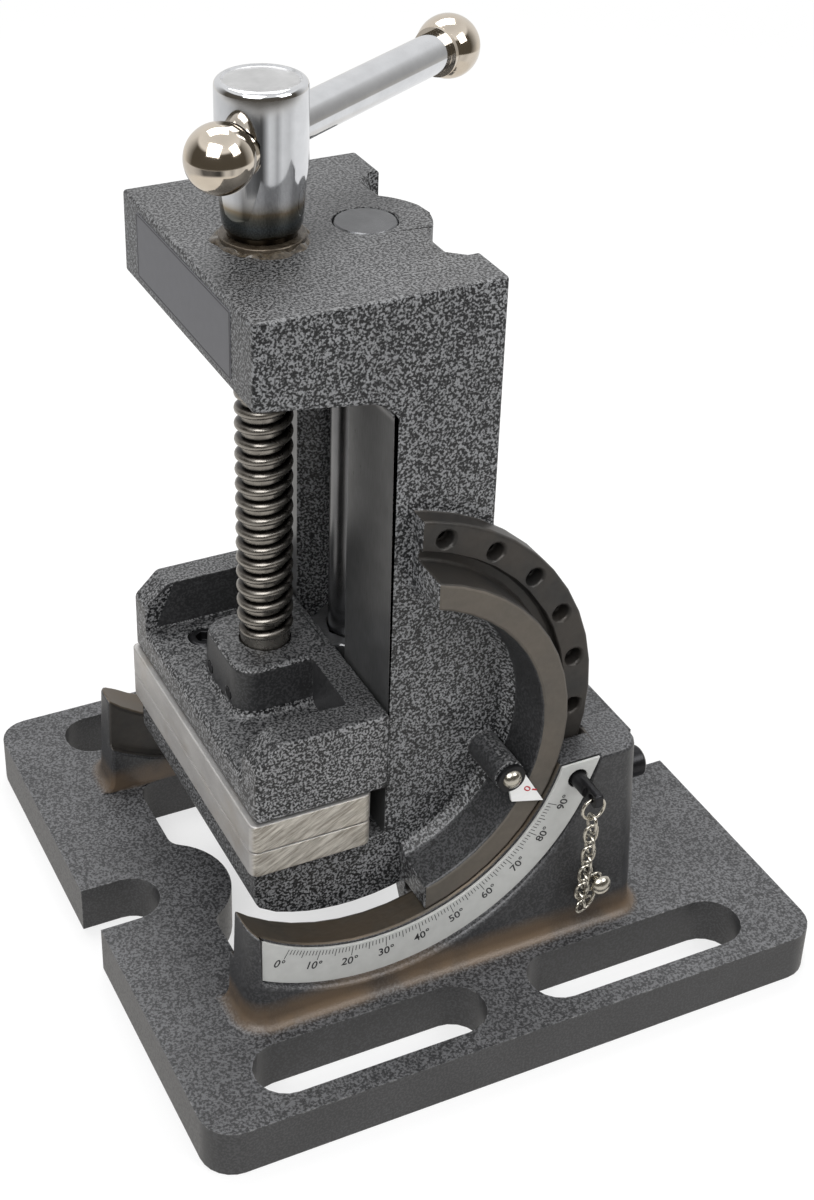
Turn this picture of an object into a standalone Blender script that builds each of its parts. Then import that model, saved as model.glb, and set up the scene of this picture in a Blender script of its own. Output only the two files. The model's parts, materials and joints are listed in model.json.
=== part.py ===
"""Tilting drill press vise: a yoke base, a vise body that tilts in it, and a screw-driven jaw.

Origin at the middle of the base plate's underside, +X along the plate from the jaws to the posts,
+Z up. The vise body stands upright here and tilts about TILT_X, TILT_Z until its back lies flat.
"""

import math

import bmesh
import bpy
from mathutils import Matrix, Vector

MM = 0.001

# Clearances and how deep joined shapes reach into each other
SEAT_GAP = 0.3 * MM
RUNNING_GAP = 0.4 * MM
JOIN_DEPTH = 1 * MM
OVERRUN = 8 * MM

# Tilt axis, along Y, and how far the flanges swing above the plate
TILT_X = -34 * MM
FLANGE_FLOOR_GAP = 6.6 * MM

# Base plate
PLATE_LENGTH = 204 * MM
PLATE_WIDTH = 203 * MM
PLATE_THICKNESS = 16 * MM
PLATE_CORNER = 10 * MM
PLATE_EDGE = 1.6 * MM
END_SLOT_WIDTH = 19 * MM
END_SLOT_REACH = 79.5 * MM
SIDE_SLOT_WIDTH = 19.4 * MM
SIDE_SLOT_INSET = 17.2 * MM
SIDE_SLOT_START = 8 * MM
SIDE_SLOT_END = 82 * MM
WELL_REACH = 34 * MM
WELL_INSET = 2.5 * MM
WELL_CORNER = 6 * MM
LOBE_RADIUS = 21 * MM
LOBE_TIP = -56.1 * MM
LOBE_FILLET = 5 * MM

# Yoke: two cheeks and two posts on the plate, with a bed wall between the posts
YOKE_REACH = 40.5 * MM
CHEEK_PROUD = 2 * MM
YOKE_DROP_SHARE = 0.2243
YOKE_DRAFT = 2
YOKE_CORNER = 7 * MM
YOKE_EDGE = 1 * MM
YOKE_FOOT = 4 * MM
LEDGE_LIP = 2.8 * MM
BED_THICKNESS = 12.7 * MM
LEDGE_GAP = 1.2 * MM

# Trunnions of the vise body: side discs, flanges and rings
FLANGE_RADIUS = 74 * MM
FLANGE_THICKNESS = 6.3 * MM
DISC_STEP = 8 * MM
FLANGE_EDGE = 0.6 * MM
RELIEF_WIDTH = 4 * MM
RELIEF_DEPTH = 3 * MM
FLANGE_BAND = 13.5 * MM
RING_WIDTH = 8.2 * MM
RING_THICKNESS = 10.5 * MM
RING_FILLET = 2.5 * MM
TRUNNION_CUT = -18.2 * MM

# Index holes in the near flange, and the pin through the near cheek
INDEX_EDGE = 5.5 * MM
INDEX_FIRST = -19.5
INDEX_STEP = 15
INDEX_COUNT = 7
INDEX_DEPTH = 5.5 * MM
PIN_RADIUS = 2.5 * MM
PIN_TAIL = 12 * MM
PIN_TIP = 1 * MM
PIN_FLAT = 2.6 * MM
PIN_FLAT_LENGTH = 6 * MM
PIN_EYE_RADIUS = 1.4 * MM
PIN_EYE_INSET = 2.8 * MM

# Degree scale in its recess on the near cheek
SCALE_THICKNESS = 0.8 * MM
SCALE_DEPTH = 1.3 * MM
SCALE_WIDTH = 12.6 * MM
SCALE_INSET = 2.9 * MM
SCALE_TOP_DROP = 0.5 * MM
SCALE_TOP_REACH = 7.3 * MM
SCALE_END_ANGLE = -24.2
SCALE_EAR_REACH = 4 * MM
SCALE_EAR_DROP = 2.7 * MM
SCALE_RIM = 0.5 * MM
NOTCH_GAP = 0.8 * MM

# Vise body: column, ways and screw head block
COLUMN_FRONT = -24 * MM
COLUMN_BACK = 7.7 * MM
COLUMN_HALF_WIDTH = 47.2 * MM
COLUMN_CORNER = 3 * MM
RIB_INNER = 31 * MM
NOTCH_FLOOR = -0.5 * MM
NOTCH_OUTER = 26.5 * MM
NOTCH_INNER = 20 * MM
LOBE_WALL = 4.6 * MM
CHANNEL_RADIUS = 14 * MM
CHANNEL_MOUTH = 17.5 * MM
CHANNEL_NECK = 6 * MM
HEAD_FRONT = -65.1 * MM
HEAD_TOP = 234 * MM
HEAD_FRONT_UNDERSIDE = 208.9 * MM
HEAD_BACK_UNDERSIDE = 204.3 * MM
HEAD_FILLET = 9 * MM
HEAD_EDGE = 2.6 * MM
BODY_EDGE_SHARE = 0.46
FIXED_JAW_LEFT = -66 * MM
FIXED_JAW_CORNER = 8 * MM
FIXED_JAW_STEP = 11 * MM
FIXED_JAW_DROP = 10 * MM

# Guide rod
ROD_X = -11.5 * MM
ROD_RADIUS = 9 * MM
ROD_SEAT = 46 * MM
ROD_EDGE = 0.5 * MM

# Jaw plates and their screws
JAW_LEFT = -68 * MM
JAW_RIGHT = -29.5 * MM
JAW_HALF_WIDTH = 50 * MM
JAW_BOTTOM = 57.3 * MM
FIXED_PLATE_THICKNESS = 8.6 * MM
MOVABLE_PLATE_THICKNESS = 9.7 * MM
JAW_EDGE = 0.6 * MM
JAW_CORNER = 2.5 * MM
JAW_SCREW_X = -50.5 * MM
JAW_SCREW_Y = 29.5 * MM
JAW_SCREW_RADIUS = 3 * MM
JAW_SCREW_BITE = 5.6 * MM
JAW_SCREW_HEAD_RADIUS = 5 * MM
JAW_SCREW_HEAD = 5.7 * MM
JAW_SCREW_FLOOR = 7 * MM
SOCKET_SHARE = 0.58
SOCKET_DEPTH_SHARE = 0.55

# Movable jaw
CARRIAGE_LEFT = -66.3 * MM
CARRIAGE_HALF_WIDTH = 49.5 * MM
CARRIAGE_HEIGHT = 26.8 * MM
CARRIAGE_EDGE = 1.2 * MM
POCKET_FLOOR = 10.8 * MM
POCKET_HALF_WIDTH = 39.5 * MM
POCKET_BACK = -33.5 * MM
POCKET_CORNER = 3 * MM
FRONT_LIP = 3.5 * MM
EAR_CHAMFER = 7.5 * MM
BOSS_HALF_LENGTH = 15.3 * MM
BOSS_HALF_WIDTH = 16 * MM
BOSS_CORNER = 7 * MM
BOSS_FOOT = 2.5 * MM
BOSS_RISE = 1 * MM
GUIDE_RADIUS = 13.4 * MM
GUIDE_NECK = 9 * MM

# Lead screw and its retaining pins
SCREW_X = -42.2 * MM
THREAD_RADIUS = 8.5 * MM
THREAD_START = 108 * MM
JOURNAL_RADIUS = 7.5 * MM
JOURNAL_FLOOR = 4 * MM
JOURNAL_CHAMFER = 1 * MM
KEEPER_RADIUS = 2 * MM
KEEPER_LENGTH = 27 * MM
KEEPER_HEIGHT = 15.8 * MM
GROOVE_RADIUS = 5 * MM
WASHER_RADIUS = 12 * MM
WASHER_THICKNESS = 1.7 * MM
COLLAR_RADIUS = 11.25 * MM
COLLAR_HEIGHT = 7 * MM
COLLAR_EDGE = 0.8 * MM
SPIGOT_RADIUS = 6 * MM
SPIGOT_HEIGHT = 10.5 * MM

# Screw head and T-bar
KNOB_RADIUS = 12.5 * MM
KNOB_HEIGHT = 35.4 * MM
KNOB_RIM = 2 * MM
KNOB_DISC_RADIUS = 10.25 * MM
KNOB_DISC_DROP = 0.5 * MM
BAR_RISE = 18.9 * MM
BAR_RADIUS = 6 * MM
BAR_DIRECTION = 30.4
BAR_TRAVEL = 73.7 * MM
BALL_RADIUS = 9.5 * MM
BALL_SEAT = 17.8 * MM

# Pointer on the near trunnion
POINTER_INSET = 7.5 * MM
POINTER_ANGLE = -20.7
POINTER_THICKNESS = 1 * MM
POINTER_TAB = 4.4 * MM
POINTER_HEEL_SHIFT = 0.6 * MM
POINTER_HEEL_DROP = 8.9 * MM
POINTER_TIP_ANGLE = -27.5
POINTER_TIP_GAP = 0.3 * MM
POINTER_BOSS = 4.8 * MM
POINTER_SCREW_RADIUS = 1.5 * MM
POINTER_SCREW_LENGTH = 9 * MM
POINTER_HEAD_RADIUS = 3.1 * MM
POINTER_HEAD_HEIGHT = 2 * MM

# Lock screws in the posts, pressing brass shoes on the flange rims
LOCK_INSET = 5.8 * MM
LOCK_RISE = 7 * MM
LOCK_RADIUS = 4 * MM
LOCK_HEAD_RADIUS = 4.9 * MM
LOCK_HEAD_LENGTH = 7.5 * MM
LOCK_CHAMFER = 0.8 * MM
SHOE_LENGTH = 9 * MM

# Retaining chain of the index pin
WIRE_RADIUS = 0.6 * MM
EYE_RING_RADIUS = 3.8 * MM
LINK_LENGTH = 8 * MM
LINK_WIDTH = 5.6 * MM
LINK_COUNT = 12
CHAIN_SCREW_INSET = 15.8 * MM
CHAIN_SCREW_RISE = 20.4 * MM
CHAIN_SCREW_RADIUS = 1.2 * MM
CHAIN_SCREW_BITE = 7 * MM
CHAIN_SCREW_STANDOFF = 6.6 * MM
CHAIN_HEAD_RADIUS = 3.4 * MM
CHAIN_HEAD_HEIGHT = 2.4 * MM
CHAIN_END_LEAN = 35
CHAIN_DROOP_SHIFT = 1.2 * MM
CHAIN_DROOP_GAP = 4.1 * MM
CHAIN_DROOP_RISE = 12.6 * MM
CHAIN_SLACK_SHARES = [(0.09, 0.12, 0.3), (0.24, 0.45, 0.6), (0.55, 0.85, 0.86)]

# Facets
FINE_STEPS = 48
ROUND_STEPS = 32
SMALL_STEPS = 24
TINY_STEPS = 16
SMOOTH_ANGLE = 35
MERGE_DISTANCE = 0.001 * MM

# Sizes that follow from the ones above
TILT_Z = PLATE_THICKNESS + FLANGE_FLOOR_GAP + FLANGE_RADIUS
DISC_RADIUS = FLANGE_RADIUS - DISC_STEP
RING_RADIUS = FLANGE_RADIUS - FLANGE_BAND
RING_INNER = RING_RADIUS - RING_WIDTH
INDEX_RADIUS = FLANGE_RADIUS - INDEX_EDGE
FIXED_JAW_SWEEP = FLANGE_RADIUS - FIXED_JAW_STEP
SIDE_SLOT_LINE = PLATE_WIDTH / 2 - SIDE_SLOT_INSET
CHEEK_INNER = COLUMN_HALF_WIDTH + FLANGE_THICKNESS + SEAT_GAP
FLANGE_FACE = COLUMN_HALF_WIDTH + FLANGE_THICKNESS
RING_FACE = FLANGE_FACE + RING_THICKNESS
POST_INNER = COLUMN_HALF_WIDTH + RUNNING_GAP
SADDLE_RADIUS = RING_RADIUS + RUNNING_GAP
LEDGE_RADIUS = FLANGE_RADIUS + LEDGE_GAP
LEDGE_INNER = CHEEK_INNER - LEDGE_LIP
YOKE_HALF_WIDTH = RING_FACE + CHEEK_PROUD
YOKE_TOP = TILT_Z - FLANGE_RADIUS * YOKE_DROP_SHARE
YOKE_LEFT = TILT_X - YOKE_REACH
BED_LEFT = TILT_X + FLANGE_RADIUS
YOKE_RIGHT = BED_LEFT + BED_THICKNESS
BED_TOP = TILT_Z - (COLUMN_BACK - TILT_X) - SEAT_GAP
WELL_LEFT = TILT_X - WELL_REACH
WELL_RIGHT = BED_LEFT - WELL_INSET
CHAIN_SCREW_X = YOKE_RIGHT - CHAIN_SCREW_INSET
CHAIN_SCREW_Z = PLATE_THICKNESS + CHAIN_SCREW_RISE
DRAFT_SLOPE = math.tan(math.radians(YOKE_DRAFT))
PIN_ANGLE = math.radians(INDEX_FIRST)
PIN_X = TILT_X + INDEX_RADIUS * math.cos(PIN_ANGLE)
PIN_Z = TILT_Z + INDEX_RADIUS * math.sin(PIN_ANGLE)
NOTCH_RADIUS = PIN_RADIUS + NOTCH_GAP
SCALE_INNER = SADDLE_RADIUS + SCALE_RIM
SCALE_OUTER = SCALE_INNER + SCALE_WIDTH
SCALE_LEFT = YOKE_LEFT + SCALE_INSET
SCALE_TOP_RIGHT = PIN_X + SCALE_TOP_REACH
SCALE_EAR_X = PIN_X + SCALE_EAR_REACH
SCALE_EAR_Z = PIN_Z - SCALE_EAR_DROP
SCALE_FLOOR = YOKE_HALF_WIDTH - SCALE_DEPTH
POINTER_RADIUS = RING_INNER - POINTER_INSET
POINTER_SCREW_X = TILT_X + POINTER_RADIUS * math.cos(math.radians(POINTER_ANGLE))
POINTER_SCREW_Z = TILT_Z + POINTER_RADIUS * math.sin(math.radians(POINTER_ANGLE))
POINTER_HEEL_X = POINTER_SCREW_X + POINTER_HEEL_SHIFT
POINTER_HEEL_Z = POINTER_SCREW_Z - POINTER_HEEL_DROP
LOCK_Y = COLUMN_HALF_WIDTH + LOCK_INSET
LOCK_Z = BED_TOP + LOCK_RISE
LOCK_RIM_X = TILT_X + math.sqrt(FLANGE_RADIUS**2 - (TILT_Z - LOCK_Z) ** 2)
LOCK_TIP_X = LOCK_RIM_X + SHOE_LENGTH
LOCK_BORE_END = LOCK_RIM_X - LOCK_RADIUS
FIXED_JAW_TOP = JAW_BOTTOM - SEAT_GAP
FIXED_PLATE_TOP = JAW_BOTTOM + FIXED_PLATE_THICKNESS
MOVABLE_PLATE_BOTTOM = FIXED_PLATE_TOP + SEAT_GAP
MOVABLE_PLATE_TOP = MOVABLE_PLATE_BOTTOM + MOVABLE_PLATE_THICKNESS
CARRIAGE_BOTTOM = MOVABLE_PLATE_TOP + SEAT_GAP
CARRIAGE_TOP = CARRIAGE_BOTTOM + CARRIAGE_HEIGHT
CARRIAGE_RIGHT = COLUMN_FRONT - SEAT_GAP
POCKET_Z = CARRIAGE_BOTTOM + POCKET_FLOOR
BOSS_TOP = CARRIAGE_TOP + BOSS_RISE
JOURNAL_BOTTOM = CARRIAGE_BOTTOM + JOURNAL_FLOOR
KEEPER_Z = CARRIAGE_BOTTOM + KEEPER_HEIGHT
KEEPER_Y = GROOVE_RADIUS + SEAT_GAP + KEEPER_RADIUS
WASHER_BOTTOM = HEAD_TOP + SEAT_GAP
COLLAR_BOTTOM = WASHER_BOTTOM + WASHER_THICKNESS + SEAT_GAP
COLLAR_TOP = COLLAR_BOTTOM + COLLAR_HEIGHT
KNOB_BOTTOM = COLLAR_TOP + SEAT_GAP
KNOB_TOP = KNOB_BOTTOM + KNOB_HEIGHT
BAR_Z = KNOB_BOTTOM + BAR_RISE
SIDES = ((-1, "near"), (1, "far"))
MANIFOLD_SOLIDS = ("vise_body", "movable_jaw", "screw_head")
BAR_AXIS = Vector((math.cos(math.radians(BAR_DIRECTION)), math.sin(math.radians(BAR_DIRECTION)), 0))


def start_scene():
    """Empty the file and make the two collections."""
    for item in list(bpy.data.objects):
        bpy.data.objects.remove(item)
    made = []
    for name in ("tilting_drill_press_vise", "cutters"):
        collection = bpy.data.collections.new(name)
        bpy.context.scene.collection.children.link(collection)
        made.append(collection)
    return made


PARTS, CUTTERS = start_scene()


def material(name, color, roughness, metallic):
    """A Principled material with the part's own look."""
    made = bpy.data.materials.new(name)
    made.use_nodes = True
    shader = made.node_tree.nodes["Principled BSDF"]
    shader.inputs["Base Color"].default_value = (*color, 1)
    shader.inputs["Roughness"].default_value = roughness
    shader.inputs["Metallic"].default_value = metallic
    return made


HAMMERTONE = material("hammertone_paint", (0.07, 0.072, 0.078), 0.42, 0.3)
GROUND_STEEL = material("ground_steel", (0.55, 0.53, 0.5), 0.34, 1)
CHROME = material("chrome", (0.72, 0.73, 0.75), 0.08, 1)
NICKEL = material("nickel", (0.66, 0.6, 0.53), 0.12, 1)
BLACK_OXIDE = material("black_oxide", (0.035, 0.035, 0.038), 0.38, 0.8)
SCREW_STEEL = material("oiled_steel", (0.2, 0.19, 0.18), 0.3, 1)
ROD_STEEL = material("polished_rod", (0.42, 0.42, 0.43), 0.22, 1)
ENAMEL = material("white_enamel", (0.74, 0.75, 0.74), 0.4, 0)
ALUMINIUM = material("scale_aluminium", (0.66, 0.67, 0.68), 0.35, 0.6)
BRASS = material("brass", (0.62, 0.44, 0.16), 0.35, 1)
ZINC = material("bright_zinc", (0.6, 0.6, 0.58), 0.25, 1)


def arc(center_u, center_v, radius, start, stop, steps):
    """Points on an arc, angles in degrees, with both ends."""
    points = []
    for index in range(steps + 1):
        angle = math.radians(start + (stop - start) * index / steps)
        points.append((center_u + radius * math.cos(angle), center_v + radius * math.sin(angle)))
    return points


def tilt_arc(radius, start, stop, steps):
    """Points on an arc about the tilt axis, in the XZ plane."""
    return arc(TILT_X, TILT_Z, radius, start, stop, steps)


def tilt_angle(radius, x):
    """The angle below the tilt axis at which a circle of this radius meets a given x."""
    return -math.degrees(math.acos((x - TILT_X) / radius))


def rounded_box(left, right, low, high, radius, steps=4):
    """The outline of a rectangle with round corners, counter-clockwise."""
    points = arc(right - radius, high - radius, radius, 0, 90, steps)
    points += arc(left + radius, high - radius, radius, 90, 180, steps)
    points += arc(left + radius, low + radius, radius, 180, 270, steps)
    return points + arc(right - radius, low + radius, radius, 270, 360, steps)


def add_solid(name, mesh, matrix=None):
    """Link a mesh as one of the vise's solids."""
    solid = bpy.data.objects.new(name, mesh)
    PARTS.objects.link(solid)
    if matrix is not None:
        solid.matrix_world = matrix
    return solid


def as_mesh(shape):
    """Turn a curve object into a welded mesh object in the same place."""
    name = shape.name
    PARTS.objects.link(shape)
    bpy.context.view_layer.update()
    evaluated = shape.evaluated_get(bpy.context.evaluated_depsgraph_get())
    mesh = bpy.data.meshes.new_from_object(evaluated)
    matrix = shape.matrix_world.copy()
    bpy.data.objects.remove(shape)
    work = bmesh.new()
    work.from_mesh(mesh)
    bmesh.ops.remove_doubles(work, verts=work.verts, dist=MERGE_DISTANCE)
    bmesh.ops.dissolve_limit(work, angle_limit=math.radians(0.02), verts=work.verts, edges=work.edges)
    bmesh.ops.recalc_face_normals(work, faces=work.faces)
    work.to_mesh(mesh)
    work.free()
    return add_solid(name, mesh, matrix)


def prism(name, outlines, low, high, plane="XY"):
    """Flat outlines, the inner ones holes, extruded from low to high along the plane's normal."""
    curve = bpy.data.curves.new(name, "CURVE")
    curve.dimensions = "2D"
    curve.fill_mode = "BOTH"
    curve.extrude = (high - low) / 2
    for outline in outlines:
        spline = curve.splines.new("POLY")
        spline.points.add(len(outline) - 1)
        for point, (across, along) in zip(spline.points, outline):
            point.co = (across, along, 0, 1)
        spline.use_cyclic_u = True
    shape = bpy.data.objects.new(name, curve)
    middle = (low + high) / 2
    turns = {"XY": (0, 0, 0), "XZ": (90, 0, 0), "YZ": (90, 0, 90)}
    places = {"XY": (0, 0, middle), "XZ": (0, middle, 0), "YZ": (middle, 0, 0)}
    shape.rotation_euler = [math.radians(turn) for turn in turns[plane]]
    shape.location = places[plane]
    return as_mesh(shape)


def box(name, low, high):
    """A box between two corners."""
    work = bmesh.new()
    bmesh.ops.create_cube(work, size=1)
    size = [top - bottom for bottom, top in zip(low, high)]
    bmesh.ops.scale(work, vec=size, verts=work.verts)
    mesh = bpy.data.meshes.new(name)
    work.to_mesh(mesh)
    work.free()
    middle = [(top + bottom) / 2 for bottom, top in zip(low, high)]
    return add_solid(name, mesh, Matrix.Translation(middle))


def facing(origin, direction):
    """The matrix that carries local Z to a direction at a point."""
    turn = Vector(direction).to_track_quat("Z", "Y").to_matrix().to_4x4()
    return Matrix.Translation(origin) @ turn


def cylinder(name, origin, direction, radius, length, steps=SMALL_STEPS):
    """A cylinder that starts at a point and runs along a direction."""
    work = bmesh.new()
    bmesh.ops.create_cone(
        work,
        cap_ends=True,
        segments=steps,
        radius1=radius,
        radius2=radius,
        depth=length,
        matrix=Matrix.Translation((0, 0, length / 2)),
    )
    mesh = bpy.data.meshes.new(name)
    work.to_mesh(mesh)
    work.free()
    return add_solid(name, mesh, facing(origin, direction))


def sphere(name, center, radius, direction=(0, 0, 1)):
    """A sphere whose poles lie along a direction."""
    work = bmesh.new()
    bmesh.ops.create_uvsphere(work, u_segments=SMALL_STEPS, v_segments=SMALL_STEPS // 2, radius=radius)
    mesh = bpy.data.meshes.new(name)
    work.to_mesh(mesh)
    work.free()
    return add_solid(name, mesh, facing(center, direction))


def turned(name, profile, origin, direction, steps=ROUND_STEPS):
    """A turned solid: (radius, height) points from top to bottom of its outer side."""
    mesh = bpy.data.meshes.new(name)
    verts = [(radius, 0, height) for radius, height in profile]
    edges = [(index, index + 1) for index in range(len(verts) - 1)]
    if profile[0][0] > 0:
        edges.append((len(verts) - 1, 0))
    mesh.from_pydata(verts, edges, [])
    solid = add_solid(name, mesh, facing(origin, direction))
    screw = solid.modifiers.new("turn", "SCREW")
    screw.steps = steps
    screw.render_steps = steps
    screw.use_merge_vertices = True
    screw.merge_threshold = MERGE_DISTANCE
    screw.use_smooth_shade = True
    return solid


def loft(name, sections):
    """A solid through sections of equal point counts, each a height and its outline."""
    work = bmesh.new()
    rings = []
    for height, outline in sections:
        rings.append([work.verts.new((across, along, height)) for across, along in outline])
    for below, above in zip(rings, rings[1:]):
        for index in range(len(below)):
            after = (index + 1) % len(below)
            work.faces.new((below[index], below[after], above[after], above[index]))
    work.faces.new(rings[0][::-1])
    work.faces.new(rings[-1])
    mesh = bpy.data.meshes.new(name)
    work.to_mesh(mesh)
    work.free()
    return add_solid(name, mesh)


def set_aside(tool):
    """Keep a cutter or a joined shape out of the model itself."""
    PARTS.objects.unlink(tool)
    CUTTERS.objects.link(tool)
    tool.hide_render = True
    tool.display_type = "WIRE"


def combine(solid, tool, operation):
    """Cut one solid with another, or join them. Some flush faces need the manifold solver."""
    change = solid.modifiers.new(f"{operation.lower()} {tool.name}", "BOOLEAN")
    change.operation = operation
    change.solver = "MANIFOLD" if solid.name in MANIFOLD_SOLIDS else "EXACT"
    change.object = tool
    set_aside(tool)


def cut(solid, *tools):
    """Take tools away from a solid."""
    for tool in tools:
        combine(solid, tool, "DIFFERENCE")


def join(solid, *tools):
    """Add shapes to a solid."""
    for tool in tools:
        combine(solid, tool, "UNION")


def round_edges(solid, width, segments=2, angle=50):
    """Round a solid's sharp edges before it is cut or joined."""
    bevel = solid.modifiers.new("rounded edges", "BEVEL")
    bevel.width = width
    bevel.segments = segments
    bevel.limit_method = "ANGLE"
    bevel.angle_limit = math.radians(angle)


def axis_empty(name, place):
    """An empty on a joint's axis."""
    empty = bpy.data.objects.new(name, None)
    PARTS.objects.link(empty)
    empty.location = place
    bpy.context.view_layer.update()
    return empty


def finish(solid, look, parent=None):
    """Give a solid its material and smooth shading, and hang it on its joint's empty."""
    solid.data.materials.clear()
    solid.data.materials.append(look)
    if solid.data.polygons:
        solid.data.shade_smooth()
        solid.data.set_sharp_from_angle(angle=math.radians(SMOOTH_ANGLE))
    bpy.context.view_layer.update()
    if parent is not None:
        place = solid.matrix_world.copy()
        solid.parent = parent
        solid.matrix_parent_inverse = parent.matrix_world.inverted()
        solid.matrix_world = place
    return solid


def end_slot(side):
    """The open slot in one end of the plate, as part of the plate's outline."""
    half = END_SLOT_WIDTH / 2
    center = END_SLOT_REACH + half
    edge = PLATE_LENGTH / 2
    if side > 0:
        return [(edge, -half)] + arc(center, 0, half, 270, 90, 12) + [(edge, half)]
    return [(-edge, half)] + arc(-center, 0, half, 90, -90, 12) + [(-edge, -half)]


def plate_outline():
    """The plate's outer edge with its round corners and end slots."""
    edge = PLATE_LENGTH / 2
    side = PLATE_WIDTH / 2
    inner = edge - PLATE_CORNER
    level = side - PLATE_CORNER
    points = end_slot(1)
    points += arc(inner, level, PLATE_CORNER, 0, 90, 6)
    points += arc(-inner, level, PLATE_CORNER, 90, 180, 6)
    points += end_slot(-1)
    points += arc(-inner, -level, PLATE_CORNER, 180, 270, 6)
    return points + arc(inner, -level, PLATE_CORNER, 270, 360, 6)


def side_slot(side_x, side_y):
    """One closed slot beside a cheek."""
    half = SIDE_SLOT_WIDTH / 2
    near = side_x * (SIDE_SLOT_START + half)
    far = side_x * (SIDE_SLOT_END - half)
    low, high = min(near, far), max(near, far)
    level = side_y * SIDE_SLOT_LINE
    return arc(high, level, half, -90, 90, 10) + arc(low, level, half, 90, 270, 10)


def well_outline():
    """The hole between the cheeks, with the round lobe that carries the end slot."""
    center = LOBE_TIP - LOBE_RADIUS
    reach = LOBE_RADIUS + LOBE_FILLET
    fillet_x = WELL_LEFT + LOBE_FILLET
    fillet_y = math.sqrt(reach**2 - (fillet_x - center) ** 2)
    turn = math.degrees(math.atan2(fillet_y, fillet_x - center))
    points = arc(WELL_RIGHT - WELL_CORNER, LEDGE_INNER - WELL_CORNER, WELL_CORNER, 0, 90, 4)
    points += arc(WELL_LEFT + WELL_CORNER, LEDGE_INNER - WELL_CORNER, WELL_CORNER, 90, 180, 4)
    points += arc(fillet_x, fillet_y, LOBE_FILLET, 180, 180 + turn, 4)
    points += arc(center, 0, LOBE_RADIUS, turn, -turn, 14)[1:-1]
    points += arc(fillet_x, -fillet_y, LOBE_FILLET, 180 - turn, 180, 4)
    points += arc(WELL_LEFT + WELL_CORNER, WELL_CORNER - LEDGE_INNER, WELL_CORNER, 180, 270, 4)
    return points + arc(WELL_RIGHT - WELL_CORNER, WELL_CORNER - LEDGE_INNER, WELL_CORNER, 270, 360, 4)


def yoke_section(height, spread):
    """The yoke's outline at a height, wider toward its foot by the casting draft."""
    grow = (YOKE_TOP - height) * DRAFT_SLOPE + spread
    half = YOKE_HALF_WIDTH + grow
    return rounded_box(YOKE_LEFT - grow, YOKE_RIGHT + grow, -half, half, YOKE_CORNER + spread, 5)


def yoke_block():
    """The solid block that the cheeks, posts and bed wall are cut from, with its foot fillet."""
    sections = []
    foot = PLATE_THICKNESS
    sections.append((foot - JOIN_DEPTH, yoke_section(foot, YOKE_FOOT)))
    for step in range(5):
        turn = math.radians(90 * step / 4)
        height = foot + YOKE_FOOT * (1 - math.cos(turn))
        sections.append((height, yoke_section(height, YOKE_FOOT * (1 - math.sin(turn)))))
    sections.append((YOKE_TOP - YOKE_EDGE, yoke_section(YOKE_TOP - YOKE_EDGE, 0)))
    sections.append((YOKE_TOP, yoke_section(YOKE_TOP, -YOKE_EDGE)))
    return loft("yoke block", sections)


def ring_side(outline_radius, wall, name):
    """A cylinder about the tilt axis that reaches both ways to a wall."""
    start = (TILT_X, wall, TILT_Z)
    return cylinder(name, start, (0, -1, 0), outline_radius, 2 * wall, FINE_STEPS)


def recess_outline():
    """The scale's recess: its outline, grown all round and open at the saddle and the top."""
    outer = SCALE_OUTER + SCALE_RIM
    left = SCALE_LEFT - SCALE_RIM
    inner = SADDLE_RADIUS - OVERRUN / 4
    points = tilt_arc(outer, tilt_angle(outer, left), SCALE_END_ANGLE + 1, 24)
    points.append((SCALE_EAR_X + SCALE_RIM, SCALE_EAR_Z - SCALE_RIM))
    points.append((SCALE_TOP_RIGHT + SCALE_RIM, YOKE_TOP - SCALE_TOP_DROP))
    points.append((SCALE_TOP_RIGHT + SCALE_RIM, YOKE_TOP + OVERRUN))
    points.append((TILT_X + inner - OVERRUN, YOKE_TOP + OVERRUN))
    return points + tilt_arc(inner, -16, tilt_angle(inner, left), 24)


def base_casting():
    """Base plate and yoke in one casting."""
    slots = [side_slot(x, y) for x in (-1, 1) for y in (-1, 1)]
    plate = prism("base_casting", [plate_outline(), well_outline(), *slots], 0, PLATE_THICKNESS)
    round_edges(plate, PLATE_EDGE, 1)
    yoke = yoke_block()
    far = YOKE_HALF_WIDTH + OVERRUN
    top = YOKE_TOP + OVERRUN
    cut(
        yoke,
        ring_side(SADDLE_RADIUS, far, "saddle cutter"),
        ring_side(LEDGE_RADIUS, CHEEK_INNER, "ledge cutter"),
        box(
            "cheek space",
            (YOKE_LEFT - 2 * OVERRUN, -LEDGE_INNER, 0),
            (BED_LEFT, LEDGE_INNER, top),
        ),
        box("post space", (BED_LEFT - OVERRUN, -POST_INNER, BED_TOP), (YOKE_RIGHT + OVERRUN, POST_INNER, top)),
        prism("scale recess", [recess_outline()], -far, -SCALE_FLOOR, "XZ"),
        cylinder("pin bore", (PIN_X, -far, PIN_Z), (0, 1, 0), PIN_RADIUS + SEAT_GAP, far - LEDGE_INNER),
        chain_screw_bore(),
        *[lock_bore(side) for side in (-1, 1)],
    )
    join(plate, yoke)
    return finish(plate, HAMMERTONE)


def lock_bore(side):
    """The bore for one lock screw and its brass shoe."""
    start = YOKE_RIGHT + OVERRUN
    length = start - LOCK_BORE_END
    return cylinder("lock bore", (start, side * LOCK_Y, LOCK_Z), (-1, 0, 0), LOCK_RADIUS + SEAT_GAP, length)


def cheek_face(height):
    """How far out the cheeks' drafted faces stand at a height."""
    return YOKE_HALF_WIDTH + (YOKE_TOP - height) * DRAFT_SLOPE


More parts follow.
